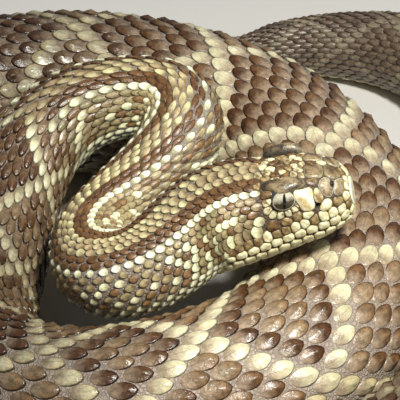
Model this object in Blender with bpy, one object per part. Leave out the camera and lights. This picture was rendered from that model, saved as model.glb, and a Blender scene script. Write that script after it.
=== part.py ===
"""A neotropical rattlesnake lying in a flat coil, life size, with its head resting on the inner turn.

The body follows one smooth centreline. It starts at the snout, doubles back on itself in the neck, climbs over
the far side of the coil, comes down on the left, and then winds outward on the floor for two turns, ending in
the tail and the rattle. Every length of the body is cut from that one swept shape, with a thin gap at each cut.

Units are metres, +Z is up, and the origin is the middle of the footprint, on the floor.
"""

import math

import bmesh
import bpy
import numpy as np
from mathutils import Matrix, Vector

MM = 0.001
GAP = 0.4 * MM  # between neighbouring pieces

# The pose, in millimetres: x to the right, y away, z up from the floor.
SNOUT = (37.2, -7.9, 57.5)
OCCIPUT = (6.0, -7.7, 48.8)
# The neck after the head: down to the left, round a tight bend, and back up over the far turn (centre heights).
NECK_POSE = (
    (-0.2, -8.8, 46.6), (-5.2, -12.4, 43.9), (-9.4, -15.2, 41.4), (-14.8, -17.2, 38.8), (-20.2, -16.4, 36.9),
    (-24.6, -12.4, 35.4), (-27.0, -6.6, 34.4), (-27.2, 0.2, 33.8), (-25.0, 6.8, 33.9), (-21.2, 12.4, 34.7),
    (-16.8, 17.6, 36.3), (-12.0, 22.8, 38.6), (-7.4, 28.2, 41.4), (-4.2, 34.4, 44.0), (-4.4, 41.2, 45.6),
    (-8.6, 46.6, 46.0), (-15.2, 49.0, 45.6),
)
# The coil: angle about its centre in degrees, radius, and how far the underside is above the floor.
COIL_CENTRE = (-20.0, 11.0)
COIL = (
    (100, 38.6, 32.4), (117, 38.4, 29.0), (135, 36.6, 23.0), (158, 34.4, 14.5), (180, 34.8, 7.5), (202, 41.5, 2.5),
    (225, 52.5, 0), (247, 58.3, 0), (270, 59.3, 0), (315, 59.3, 0), (360, 59.3, 0), (405, 61.8, 0), (430, 65.5, 0),
    (450, 70.5, 0), (472, 77.0, 0), (495, 82.0, 0), (517, 84.0, 0), (540, 86.0, 0), (562, 93.0, 0), (585, 102.5, 0),
    (607, 107.0, 0), (630, 108.6, 0), (652, 108.8, 0), (675, 108.4, 0), (700, 107.0, 0), (720, 105.4, 0),
)
# The tail leaves the coil and curves round behind it, on the floor.
TAIL_POSE = ((87.5, 42), (89, 72), (82, 100), (64, 121), (38, 130), (10, 128))

# The straight axis of the head takes a third of its length between points, and the corners of the whole
# centreline are eased twice: over this many points, leaving the first ones as they are.
HEAD_SHARES = (0.0, 1 / 3, 2 / 3, 1.0)
EASINGS = ((9, 30), (5, 28))
TYPICAL_DEPTH = 20.0  # a first guess of the axis's height above the belly
FLOOR_TOUCH = 0.3  # an axis this much above its resting height still counts as lying on the floor

# Body sections by distance from the snout, in millimetres: half width, height above and depth below the axis.
HEAD_LENGTH = 44.0
SECTIONS = (
    (0.0, 3.6, 2.6, 3.4), (0.8, 5.6, 5.0, 5.2), (2.0, 7.0, 6.6, 6.2), (4.0, 8.4, 8.2, 7.2), (7.0, 9.6, 9.6, 8.2),
    (10.0, 10.3, 10.4, 8.8), (13.0, 10.9, 10.9, 9.2), (17.0, 11.8, 11.0, 9.6), (22.0, 13.2, 11.3, 10.1),
    (27.0, 14.4, 11.9, 10.4), (32.0, 14.9, 12.0, 10.5), (36.0, 14.4, 11.8, 10.5), (40.0, 13.2, 11.5, 10.6),
    (44.0, 12.2, 11.3, 10.8), (50.0, 11.8, 11.2, 11.0), (80.0, 11.3, 10.8, 10.8), (115.0, 10.8, 10.4, 10.4),
    (150.0, 11.7, 11.2, 11.2), (195.0, 14.2, 13.4, 13.4), (245.0, 18.4, 17.2, 17.2), (300.0, 22.0, 20.8, 20.8),
    (380.0, 23.8, 21.5, 22.2),
    (480.0, 24.6, 23.2, 23.2), (600.0, 25.2, 23.8, 23.8), (720.0, 25.0, 23.8, 23.8), (850.0, 23.2, 22.4, 22.4),
    (930.0, 20.8, 20.2, 20.2), (985.0, 18.0, 17.8, 17.8), (1034.0, 14.8, 14.9, 14.9), (1058.0, 12.6, 12.9, 12.9),
    (1084.0, 9.9, 10.4, 10.4), (1116.0, 6.6, 7.4, 7.4), (1300.0, 6.0, 7.0, 7.0),
)
HEAD_BOXINESS = 2.6  # superellipse exponent of the head, which falls to 2 over the fade below
BOXY_UNTIL, BOXY_FADE = 30.0, 30.0
HEAD_ROLL = math.radians(9.0)  # the crown leans away from the viewer's side
ROLL_END = 90.0  # where the neck has turned upright again
# Inside a bend the flesh is pressed together past the first share of the bend's radius, up to the second.
SQUEEZE_FROM, SQUEEZE_LIMIT = 0.78, 0.95

# Features of the head, in millimetres from the snout and angles from the crown.
BROW_AT, BROW_ANGLE, BROW_RISE = 15.0, 46.0, 1.1
BROW_LENGTH, BROW_SPREAD = 5.0, 15.0
EYE_AT, EYE_UP, EYE_OUT = 15.9, 6.1, 8.7
EYE_RADIUS, SOCKET_CLEARANCE = 3.3, 0.3
MOUTH_FRONT, MOUTH_BACK, MOUTH_END = -3.6, -5.4, 33.0

# Lengths of the body, in millimetres from the snout.
NECK_END = 148.0
VENT = 1038.0
TRUNK_LENGTHS = 10
HEAD_SIDES, BODY_SIDES, RATTLE_SIDES = 26, 20, 12
EYE_SEGMENTS, EYE_RINGS = 16, 10
HEAD_RINGS, NECK_PITCH, BODY_PITCH = 26, 4.4, 9.0
HEAD_CROWDING = 1.6  # power that crowds the head's sections together at the snout
SHARP_ANGLE = math.radians(40)

RATTLE_SEGMENTS, RATTLE_PITCH = 7, 4.4
RATTLE_HEIGHT, RATTLE_WIDTH, RATTLE_TAPER = 12.0, 7.4, 0.045
# One segment: shares of its pitch, and its size there.
RATTLE_PROFILE = ((0.0, 0.74), (0.22, 0.97), (0.5, 1.0), (0.8, 0.93), (0.96, 0.74))


def table_value(table, x, column):
    """Reads a column of a table at x along a smooth curve that never overshoots (Fritsch-Carlson)."""
    xs = [row[0] for row in table]
    ys = [row[column] for row in table]
    x = min(max(x, xs[0]), xs[-1])
    i = min(max(np.searchsorted(xs, x) - 1, 0), len(xs) - 2)

    def slope(k):
        if k <= 0 or k >= len(xs) - 1:
            return 0.0
        before = (ys[k] - ys[k - 1]) / (xs[k] - xs[k - 1])
        after = (ys[k + 1] - ys[k]) / (xs[k + 1] - xs[k])
        if before * after <= 0:
            return 0.0
        return 2.0 * before * after / (before + after)

    width = xs[i + 1] - xs[i]
    u = (x - xs[i]) / width
    h00 = 2 * u**3 - 3 * u**2 + 1
    h10 = u**3 - 2 * u**2 + u
    h01 = 3 * u**2 - 2 * u**3
    h11 = u**3 - u**2
    return h00 * ys[i] + h10 * width * slope(i) + h01 * ys[i + 1] + h11 * width * slope(i + 1)


def smooth_through(points, steps=20):
    """A centripetal Catmull-Rom curve through the points."""
    ends = np.vstack([2 * points[0] - points[1], points, 2 * points[-1] - points[-2]])
    curve = []
    for i in range(1, len(points)):
        p0, p1, p2, p3 = ends[i - 1 : i + 3]
        t1 = np.linalg.norm(p1 - p0) ** 0.5
        t2 = t1 + np.linalg.norm(p2 - p1) ** 0.5
        t3 = t2 + np.linalg.norm(p3 - p2) ** 0.5
        for t in np.linspace(t1, t2, steps, endpoint=False):
            a1 = p0 + (p1 - p0) * t / t1
            a2 = p1 + (p2 - p1) * (t - t1) / (t2 - t1)
            a3 = p2 + (p3 - p2) * (t - t2) / (t3 - t2)
            b1 = a1 + (a2 - a1) * t / t2
            b2 = a2 + (a3 - a2) * (t - t1) / (t3 - t1)
            curve.append(b1 + (b2 - b1) * (t - t1) / (t2 - t1))
    curve.append(points[-1])
    return np.array(curve)


def evenly(curve, step):
    """The same curve with its points one step apart."""
    along = np.concatenate([[0.0], np.cumsum(np.linalg.norm(np.diff(curve, axis=0), axis=1))])
    places = np.linspace(0.0, along[-1], int(round(along[-1] / step)) + 1)
    return np.stack([np.interp(places, along, curve[:, k]) for k in range(3)], axis=1)


def relaxed(curve, reach, fixed):
    """The curve with its corners eased over reach points, except the first ones, which stay."""
    weights = np.hanning(2 * reach + 3)[1:-1]
    weights /= weights.sum()
    before = 2 * curve[0] - curve[reach:0:-1]
    after = 2 * curve[-1] - curve[-2 : -reach - 2 : -1]
    padded = np.vstack([before, curve, after])
    eased = np.stack([np.convolve(padded[:, k], weights, "valid") for k in range(3)], axis=1)
    eased[:fixed] = curve[:fixed]
    return eased


def resting_depth(along):
    """Height of the axis above the floor where the body lies on the flat facet of its belly."""
    return table_value(SECTIONS, along, 3) * math.cos(math.pi / BODY_SIDES)


def waypoints(heights):
    """All the points that the centreline passes, with these heights for the axis along the coil and the tail."""
    snout, occiput = np.array(SNOUT), np.array(OCCIPUT)
    points = [snout + (occiput - snout) * share for share in HEAD_SHARES]
    points += [np.array(p) for p in NECK_POSE]
    flat = []
    for angle, radius, lift in COIL:
        turn = math.radians(angle)
        flat.append((COIL_CENTRE[0] + radius * math.cos(turn), COIL_CENTRE[1] + radius * math.sin(turn)))
    flat += list(TAIL_POSE)
    points += [np.array((x, y, z)) for (x, y), z in zip(flat, heights)]
    return np.array(points)


def centreline():
    """The axis of the body at every millimetre from the snout, in millimetres."""
    lifts = [lift for angle, radius, lift in COIL] + [0.0] * len(TAIL_POSE)
    heights = [lift + TYPICAL_DEPTH for lift in lifts]
    for attempt in range(3):
        points = waypoints(heights)
        curve = evenly(smooth_through(points), 1.0)
        coil_points = points[-len(lifts) :]
        along = [float(np.argmin(np.linalg.norm(curve - p, axis=1))) for p in coil_points]
        heights = [lift + resting_depth(place) for lift, place in zip(lifts, along)]
    for reach, fixed in EASINGS:
        curve = relaxed(curve, reach, fixed)
    return evenly(curve, 1.0)


def unit(rows):
    return rows / np.linalg.norm(rows, axis=-1, keepdims=True)


AXIS = centreline()
LENGTH = float(len(AXIS) - 1)
TANGENT = unit(np.gradient(AXIS, axis=0))
BEND = relaxed(np.gradient(TANGENT, axis=0), 4, 0)
LEVEL_LEFT = unit(np.cross(TANGENT, (0.0, 0.0, 1.0)))
LEVEL_UP = np.cross(LEVEL_LEFT, TANGENT)


def at(rows, along):
    """A row of one of the arrays above, at any distance from the snout."""
    place = min(max(along, 0.0), LENGTH)
    i = min(int(place), len(rows) - 2)
    return rows[i] + (rows[i + 1] - rows[i]) * (place - i)


def eased(x):
    x = min(max(x, 0.0), 1.0)
    return x * x * (3.0 - 2.0 * x)


def frame_at(along):
    """Axis point, direction to the tail, and the body's own left and up there, with the head's roll."""
    tangent = unit(at(TANGENT, along))
    left, up = unit(at(LEVEL_LEFT, along)), unit(at(LEVEL_UP, along))
    roll = HEAD_ROLL * (1.0 - eased((along - HEAD_LENGTH) / (ROLL_END - HEAD_LENGTH)))
    turned_left = left * math.cos(roll) - up * math.sin(roll)
    turned_up = up * math.cos(roll) + left * math.sin(roll)
    return at(AXIS, along), tangent, turned_left, turned_up


def brow(along, angle):
    """The ridge over each eye, as a rise of the head's surface."""
    from_side = (abs(angle) - BROW_ANGLE) / BROW_SPREAD
    return BROW_RISE * math.exp(-(((along - BROW_AT) / BROW_LENGTH) ** 2) - from_side**2)


def section_point(along, angle):
    """Offsets to the left and up of the surface, at an angle in degrees from the crown."""
    width = table_value(SECTIONS, along, 1)
    upper = math.cos(math.radians(angle)) >= 0
    height = table_value(SECTIONS, along, 2 if upper else 3)
    power = 2.0 / (2.0 + (HEAD_BOXINESS - 2.0) * (1.0 - eased((along - BOXY_UNTIL) / BOXY_FADE)))
    c, s = math.cos(math.radians(angle)), math.sin(math.radians(angle))
    out = math.copysign(abs(s) ** power * width, s)
    rise = math.copysign(abs(c) ** power * height, c)
    size = math.hypot(out, rise)
    grown = 1.0 + brow(along, angle) / size if along < HEAD_LENGTH else 1.0
    return out * grown, rise * grown


def surface_point(along, angle):
    """A point of the skin, in millimetres. Flesh on the inside of a tight bend is pressed together."""
    centre, tangent, left, up = frame_at(along)
    out, rise = section_point(along, angle)
    offset = left * out + up * rise
    curvature = at(BEND, along)
    strength = float(np.linalg.norm(curvature))
    if strength > 1e-6:
        inward = curvature / strength
        share = float(offset @ inward) * strength
        if share > SQUEEZE_FROM:
            room = SQUEEZE_LIMIT - SQUEEZE_FROM
            pressed = SQUEEZE_FROM + room * math.tanh((share - SQUEEZE_FROM) / room)
            offset = offset + inward * (pressed - share) / strength
    return centre + offset


def rests_on_floor(along):
    centre = at(AXIS, along)
    return centre[2] < resting_depth(along) + FLOOR_TOUCH


def ring(along, sides):
    """The corners of the body's section at one distance from the snout, crown side first."""
    first = 180.0 / sides
    points = [surface_point(along, first + 360.0 * k / sides) for k in range(sides)]
    if rests_on_floor(along):
        for k in (sides // 2 - 1, sides // 2):
            points[k][2] = 0.0
    for p in points:
        p[2] = max(p[2], 0.0)
    return points


def material(name, colour, roughness, metallic=0.0):
    made = bpy.data.materials.new(name)
    made.use_nodes = True
    shader = made.node_tree.nodes["Principled BSDF"]
    shader.inputs["Base Color"].default_value = (*colour, 1.0)
    shader.inputs["Roughness"].default_value = roughness
    shader.inputs["Metallic"].default_value = metallic
    made.diffuse_color = (*colour, 1.0)
    return made


def piece(name, bm, finish):
    """Turns a mesh in millimetres into one named object in metres."""
    bmesh.ops.recalc_face_normals(bm, faces=bm.faces)
    bmesh.ops.scale(bm, vec=(MM, MM, MM), verts=bm.verts)
    mesh = bpy.data.meshes.new(name)
    bm.to_mesh(mesh)
    bm.free()
    mesh.shade_smooth()
    mesh.set_sharp_from_angle(angle=SHARP_ANGLE)
    made = bpy.data.objects.new(name, mesh)
    made.data.materials.append(finish)
    bpy.context.scene.collection.objects.link(made)
    return made


def loft(rings):
    """A closed skin over rings of equally many points, with a flat end at each side."""
    bm = bmesh.new()
    rows = [[bm.verts.new(Vector(p)) for p in points] for points in rings]
    sides = len(rows[0])
    for near, far in zip(rows, rows[1:]):
        for k in range(sides):
            after = (k + 1) % sides
            bm.faces.new((near[k], near[after], far[after], far[k]))
    bm.faces.new(rows[0])
    bm.faces.new(rows[-1])
    return bm


def body_length(name, start, end, pitch, finish):
    """One length of the body, from start to end, with half of the gap left at each cut."""
    half = 0.5 * GAP / MM
    places = np.linspace(start + half, end - half, max(3, int(round((end - start) / pitch)) + 1))
    return piece(name, loft([ring(place, BODY_SIDES) for place in places]), finish)


def head_places():
    """Section positions of the head, closer together at the snout."""
    places = [HEAD_LENGTH * (k / HEAD_RINGS) ** HEAD_CROWDING for k in range(HEAD_RINGS)]
    return places + [HEAD_LENGTH - 0.5 * GAP / MM]


def head_frame():
    """Places a shape drawn along the snout's own axes: x to the rear, y left, z up, in millimetres."""
    centre, tangent, left, up = frame_at(0.0)
    turn = Matrix((tangent, left, up)).transposed().to_4x4()
    return Matrix.Translation(Vector(centre)) @ turn


def hide_cutter(made):
    made.hide_render = True
    made.display_type = "WIRE"


def boolean(target, cutter, operation):
    cut = target.modifiers.new(cutter.name, "BOOLEAN")
    cut.operation = operation
    cut.solver = "EXACT"
    cut.object = cutter


def jaw_block(name, margin, finish):
    """The space below the mouth line, as a prism across the head. A margin moves its top and back."""
    reach, low, front = 30.0, -30.0, -8.0
    outline = (
        (front, MOUTH_FRONT + margin),
        (MOUTH_END + margin, MOUTH_BACK + margin),
        (MOUTH_END + margin, low),
        (front, low),
    )
    bm = bmesh.new()
    left = [bm.verts.new((x, reach, z)) for x, z in outline]
    right = [bm.verts.new((x, -reach, z)) for x, z in outline]
    bm.faces.new(left)
    bm.faces.new(right)
    for k in range(len(outline)):
        after = (k + 1) % len(outline)
        bm.faces.new((left[k], left[after], right[after], right[k]))
    bmesh.ops.transform(bm, matrix=head_frame(), verts=bm.verts)
    made = piece(name, bm, finish)
    hide_cutter(made)
    return made


def eye_centre(side):
    return head_frame() @ Vector((EYE_AT, side * EYE_OUT, EYE_UP))


def ball(name, centre, radius, finish):
    bm = bmesh.new()
    bmesh.ops.create_uvsphere(bm, u_segments=EYE_SEGMENTS, v_segments=EYE_RINGS, radius=radius)
    bmesh.ops.transform(bm, matrix=Matrix.Translation(centre), verts=bm.verts)
    return piece(name, bm, finish)


def build_head(skin, throat, eye_finish):
    """The head with its brow ridges, the lower jaw below the mouth line, and an eye in each socket."""
    rings = [ring(place, HEAD_SIDES) for place in head_places()]
    head = piece("head", loft(rings), skin)
    jaw = piece("lower_jaw", loft(rings), throat)
    half = 0.5 * GAP / MM
    boolean(head, jaw_block("jaw_cutter", half, throat), "DIFFERENCE")
    boolean(jaw, jaw_block("jaw_keeper", -half, throat), "INTERSECT")
    for name, side in (("eye_left", 1), ("eye_right", -1)):
        centre = eye_centre(side)
        ball(name, centre, EYE_RADIUS, eye_finish)
        socket = ball(f"{name}_socket", centre, EYE_RADIUS + SOCKET_CLEARANCE, skin)
        hide_cutter(socket)
        boolean(head, socket, "DIFFERENCE")


def build_rattle(finish):
    """Loose horny segments in a row, each a flattened bell that grips the one before it."""
    rings = []
    centre, tangent, left, up = frame_at(LENGTH)
    level = unit(np.array((tangent[0], tangent[1], 0.0)))
    for segment in range(RATTLE_SEGMENTS):
        size = 1.0 - RATTLE_TAPER * segment
        for share, swell in RATTLE_PROFILE:
            distance = 0.5 * GAP / MM + RATTLE_PITCH * (segment + share)
            half_height = 0.5 * RATTLE_HEIGHT * size * swell
            half_width = 0.5 * RATTLE_WIDTH * size * swell
            middle = centre + level * distance
            middle[2] = 0.5 * RATTLE_HEIGHT * size
            points = []
            for k in range(RATTLE_SIDES):
                angle = 2.0 * math.pi * (k + 0.5) / RATTLE_SIDES
                rise = np.array((0.0, 0.0, half_height * math.cos(angle)))
                points.append(middle + left * half_width * math.sin(angle) + rise)
            rings.append(points)
    lowest = min(p[2] for points in rings for p in points)
    for points in rings:
        for p in points:
            p[2] -= lowest
    return piece("rattle", loft(rings), finish)


def stand_on_origin(objects):
    """Moves everything so that the footprint's middle is the origin."""
    corners = [v.co for made in objects if not made.hide_render for v in made.data.vertices]
    middle = [0.5 * (min(c[k] for c in corners) + max(c[k] for c in corners)) for k in (0, 1)]
    shift = Matrix.Translation((-middle[0], -middle[1], 0.0))
    for made in objects:
        made.data.transform(shift)


def main():
    for old in list(bpy.data.objects):
        bpy.data.objects.remove(old)
    skin = material("scaled_skin", (0.30, 0.19, 0.10), 0.45)
    throat = material("pale_scales", (0.72, 0.62, 0.40), 0.5)
    eye_finish = material("eye_surface", (0.10, 0.08, 0.06), 0.08)
    horn = material("rattle_horn", (0.42, 0.32, 0.20), 0.55)

    build_head(skin, throat, eye_finish)
    body_length("neck", HEAD_LENGTH, NECK_END, NECK_PITCH, skin)
    cuts = np.linspace(NECK_END, VENT, TRUNK_LENGTHS + 1)
    for number, (start, end) in enumerate(zip(cuts, cuts[1:]), 1):
        body_length(f"trunk_{number:02d}", start, end, BODY_PITCH, skin)
    body_length("tail", VENT, LENGTH, BODY_PITCH, skin)
    build_rattle(horn)
    stand_on_origin(list(bpy.data.objects))


main()
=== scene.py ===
"""A life-size rattlesnake in its coil: skin, scales, head plates, eyes and rattle, in a plain studio.

The body's path and sections repeat the construction's own, in millimetres, and every scale is placed on that
surface by its distance from the snout and its angle round the body. The snake is finished by rule: rows of
scales, stations along the body, and rhombs drawn on that lattice.
"""

import itertools
import math

import bpy
import numpy as np
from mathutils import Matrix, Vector
from mathutils.bvhtree import BVHTree

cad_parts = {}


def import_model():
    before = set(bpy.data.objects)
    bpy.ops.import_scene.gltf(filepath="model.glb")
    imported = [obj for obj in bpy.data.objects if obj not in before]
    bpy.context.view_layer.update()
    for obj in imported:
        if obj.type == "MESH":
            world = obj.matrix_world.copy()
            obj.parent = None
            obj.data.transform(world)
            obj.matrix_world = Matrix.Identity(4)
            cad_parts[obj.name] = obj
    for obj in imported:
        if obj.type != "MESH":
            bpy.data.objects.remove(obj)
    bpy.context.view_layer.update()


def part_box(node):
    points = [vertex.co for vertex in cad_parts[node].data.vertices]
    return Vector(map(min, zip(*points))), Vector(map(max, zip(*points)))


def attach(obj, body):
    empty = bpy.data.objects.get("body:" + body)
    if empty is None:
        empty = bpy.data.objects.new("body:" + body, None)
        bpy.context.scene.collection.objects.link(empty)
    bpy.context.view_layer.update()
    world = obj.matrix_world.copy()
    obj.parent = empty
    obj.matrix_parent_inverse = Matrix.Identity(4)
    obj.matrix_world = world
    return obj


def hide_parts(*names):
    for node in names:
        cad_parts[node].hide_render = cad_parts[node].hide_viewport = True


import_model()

MM = 0.001

# -------------------------------------------------------- the body's path and sections, in millimetres

# Places that the axis passes: the head's two ends, then the folded neck.
SNOUT = (37.2, -7.9, 57.5)
OCCIPUT = (6.0, -7.7, 48.8)
NECK_POSE = (
    (-0.2, -8.8, 46.6), (-5.2, -12.4, 43.9), (-9.4, -15.2, 41.4), (-14.8, -17.2, 38.8),
    (-20.2, -16.4, 36.9), (-24.6, -12.4, 35.4), (-27.0, -6.6, 34.4), (-27.2, 0.2, 33.8),
    (-25.0, 6.8, 33.9), (-21.2, 12.4, 34.7), (-16.8, 17.6, 36.3), (-12.0, 22.8, 38.6), (-7.4, 28.2, 41.4),
    (-4.2, 34.4, 44.0), (-4.4, 41.2, 45.6), (-8.6, 46.6, 46.0), (-15.2, 49.0, 45.6),
)
COIL_CENTRE = (-20.0, 11.0)
# The coil: degrees round its centre, distance from it, and height of the belly over the floor.
COIL = (
    (100, 38.6, 32.4), (117, 38.4, 29.0), (135, 36.6, 23.0), (158, 34.4, 14.5), (180, 34.8, 7.5),
    (202, 41.5, 2.5), (225, 52.5, 0), (247, 58.3, 0), (270, 59.3, 0), (315, 59.3, 0), (360, 59.3, 0),
    (405, 61.8, 0), (430, 65.5, 0), (450, 70.5, 0), (472, 77.0, 0), (495, 82.0, 0), (517, 84.0, 0),
    (540, 86.0, 0), (562, 93.0, 0), (585, 102.5, 0), (607, 107.0, 0), (630, 108.6, 0), (652, 108.8, 0),
    (675, 108.4, 0), (700, 107.0, 0), (720, 105.4, 0),
)
TAIL_POSE = ((87.5, 42), (89, 72), (82, 100), (64, 121), (38, 130), (10, 128))
HEAD_SHARES = (0.0, 1 / 3, 2 / 3, 1.0)
EASINGS = ((9, 30), (5, 28))  # reach of each smoothing, and how much of the front it leaves alone
BEND_EASING = 4
TYPICAL_DEPTH = 20.0
SETTLING_ROUNDS = 3
HEAD_LENGTH = 44.0
# The section by distance from the snout: half its width, and its height over and under the axis.
SECTIONS = (
    (0.0, 3.6, 2.6, 3.4), (0.8, 5.6, 5.0, 5.2), (2.0, 7.0, 6.6, 6.2), (4.0, 8.4, 8.2, 7.2),
    (7.0, 9.6, 9.6, 8.2), (10.0, 10.3, 10.4, 8.8), (13.0, 10.9, 10.9, 9.2), (17.0, 11.8, 11.0, 9.6),
    (22.0, 13.2, 11.3, 10.1), (27.0, 14.4, 11.9, 10.4), (32.0, 14.9, 12.0, 10.5),
    (36.0, 14.4, 11.8, 10.5), (40.0, 13.2, 11.5, 10.6), (44.0, 12.2, 11.3, 10.8),
    (50.0, 11.8, 11.2, 11.0), (80.0, 11.3, 10.8, 10.8), (115.0, 10.8, 10.4, 10.4),
    (150.0, 11.7, 11.2, 11.2), (195.0, 14.2, 13.4, 13.4), (245.0, 18.4, 17.2, 17.2),
    (300.0, 22.0, 20.8, 20.8), (380.0, 23.8, 21.5, 22.2), (480.0, 24.6, 23.2, 23.2),
    (600.0, 25.2, 23.8, 23.8), (720.0, 25.0, 23.8, 23.8), (850.0, 23.2, 22.4, 22.4),
    (930.0, 20.8, 20.2, 20.2), (985.0, 18.0, 17.8, 17.8), (1034.0, 14.8, 14.9, 14.9),
    (1058.0, 12.6, 12.9, 12.9), (1084.0, 9.9, 10.4, 10.4), (1116.0, 6.6, 7.4, 7.4),
    (1300.0, 6.0, 7.0, 7.0),
)
HEAD_BOXINESS = 2.6  # the power of the head's superellipse, which fades to a plain ellipse
BOXY_UNTIL, BOXY_FADE = 30.0, 30.0
HEAD_ROLL = math.radians(9.0)
ROLL_END = 90.0
SQUEEZE_FROM, SQUEEZE_LIMIT = 0.78, 0.95  # shares of a bend's radius, where its inner side flattens
BROW_AT, BROW_ANGLE, BROW_RISE = 15.0, 46.0, 1.1
BROW_LENGTH, BROW_SPREAD = 5.0, 15.0
EYE_AT, EYE_UP, EYE_OUT = 15.9, 6.1, 8.7
MOUTH_FRONT, MOUTH_BACK, MOUTH_END = -3.6, -5.4, 33.0
JAW_FRONT = -8.0
BELLY_SIDES = 20
VENT = 1038.0


def table_value(table, x, column):
    """Reads a column of a table at x, a number or an array, along a smooth curve that never overshoots."""
    xs = np.array([row[0] for row in table], float)
    ys = np.array([row[column] for row in table], float)
    widths = np.diff(xs)
    slopes = np.diff(ys) / widths
    product, total = slopes[:-1] * slopes[1:], slopes[:-1] + slopes[1:]
    inner = np.where(product > 0, 2.0 * product / np.where(product > 0, total, 1.0), 0.0)
    tangents = np.concatenate([[0.0], inner, [0.0]])
    x = np.clip(x, xs[0], xs[-1])
    i = np.clip(np.searchsorted(xs, x) - 1, 0, len(xs) - 2)
    u = (x - xs[i]) / widths[i]
    value = (2 * u**3 - 3 * u**2 + 1) * ys[i] + (3 * u**2 - 2 * u**3) * ys[i + 1]
    return value + widths[i] * ((u**3 - 2 * u**2 + u) * tangents[i] + (u**3 - u**2) * tangents[i + 1])


def smooth_through(points, steps=20):
    """A centripetal Catmull-Rom curve through the points."""
    ends = np.vstack([2 * points[0] - points[1], points, 2 * points[-1] - points[-2]])
    curve = []
    for i in range(1, len(points)):
        p0, p1, p2, p3 = ends[i - 1 : i + 3]
        t1 = np.linalg.norm(p1 - p0) ** 0.5
        t2 = t1 + np.linalg.norm(p2 - p1) ** 0.5
        t3 = t2 + np.linalg.norm(p3 - p2) ** 0.5
        for t in np.linspace(t1, t2, steps, endpoint=False):
            a1 = p0 + (p1 - p0) * t / t1
            a2 = p1 + (p2 - p1) * (t - t1) / (t2 - t1)
            a3 = p2 + (p3 - p2) * (t - t2) / (t3 - t2)
            b1 = a1 + (a2 - a1) * t / t2
            b2 = a2 + (a3 - a2) * (t - t1) / (t3 - t1)
            curve.append(b1 + (b2 - b1) * (t - t1) / (t2 - t1))
    curve.append(points[-1])
    return np.array(curve)


def evenly(curve, step):
    """The same curve with its points one step apart."""
    along = np.concatenate([[0.0], np.cumsum(np.linalg.norm(np.diff(curve, axis=0), axis=1))])
    places = np.linspace(0.0, along[-1], int(round(along[-1] / step)) + 1)
    return np.stack([np.interp(places, along, curve[:, k]) for k in range(3)], axis=1)


def relaxed(curve, reach, fixed):
    """The curve with its corners eased over reach points, except the first ones, which stay."""
    weights = np.hanning(2 * reach + 3)[1:-1]
    weights /= weights.sum()
    before = 2 * curve[0] - curve[reach:0:-1]
    after = 2 * curve[-1] - curve[-2 : -reach - 2 : -1]
    padded = np.vstack([before, curve, after])
    eased_curve = np.stack([np.convolve(padded[:, k], weights, "valid") for k in range(3)], axis=1)
    eased_curve[:fixed] = curve[:fixed]
    return eased_curve


def waypoints(heights):
    """The points that the centreline passes, given the axis's heights along the coil and the tail."""
    snout, occiput = np.array(SNOUT), np.array(OCCIPUT)
    points = [snout + (occiput - snout) * share for share in HEAD_SHARES]
    points += [np.array(p) for p in NECK_POSE]
    flat = []
    for angle, radius, lift in COIL:
        turn = math.radians(angle)
        flat.append((COIL_CENTRE[0] + radius * math.cos(turn), COIL_CENTRE[1] + radius * math.sin(turn)))
    flat += list(TAIL_POSE)
    points += [np.array((x, y, z)) for (x, y), z in zip(flat, heights)]
    return np.array(points)


def centreline():
    """The axis of the body at every millimetre from the snout."""
    lifts = [lift for angle, radius, lift in COIL] + [0.0] * len(TAIL_POSE)
    heights = [lift + TYPICAL_DEPTH for lift in lifts]
    for settling in range(SETTLING_ROUNDS):
        points = waypoints(heights)
        curve = evenly(smooth_through(points), 1.0)
        coil_points = points[-len(lifts) :]
        along = [float(np.argmin(np.linalg.norm(curve - p, axis=1))) for p in coil_points]
        resting = [table_value(SECTIONS, place, 3) * math.cos(math.pi / BELLY_SIDES) for place in along]
        heights = [lift + depth for lift, depth in zip(lifts, resting)]
    for reach, fixed in EASINGS:
        curve = relaxed(curve, reach, fixed)
    return evenly(curve, 1.0)


def unit(rows):
    return rows / np.linalg.norm(rows, axis=-1, keepdims=True)


AXIS = centreline()
LENGTH = float(len(AXIS) - 1)
TANGENT = unit(np.gradient(AXIS, axis=0))
BEND = relaxed(np.gradient(TANGENT, axis=0), BEND_EASING, 0)
LEVEL_LEFT = unit(np.cross(TANGENT, (0.0, 0.0, 1.0)))
LEVEL_UP = np.cross(LEVEL_LEFT, TANGENT)

TWIST_AT, TWIST, TWIST_BEFORE, TWIST_AFTER = 74.0, -42.0, 13.0, 27.0
HALF_TURN, TURN = 180.0, 360.0


def at(rows, along):
    """Rows of one of the arrays above, at any distances from the snout."""
    place = np.clip(along, 0.0, LENGTH)
    i = np.minimum(place.astype(int), len(rows) - 2)
    share = (place - i)[..., None]
    return rows[i] * (1.0 - share) + rows[i + 1] * share


def eased(x):
    x = np.clip(x, 0.0, 1.0)
    return x * x * (3.0 - 2.0 * x)


def twist(along):
    """Degrees by which the back turns from the top as the neck doubles back."""
    spread = np.where(along < TWIST_AT, TWIST_BEFORE, TWIST_AFTER)
    return TWIST * np.exp(-(((along - TWIST_AT) / spread) ** 2))


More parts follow.
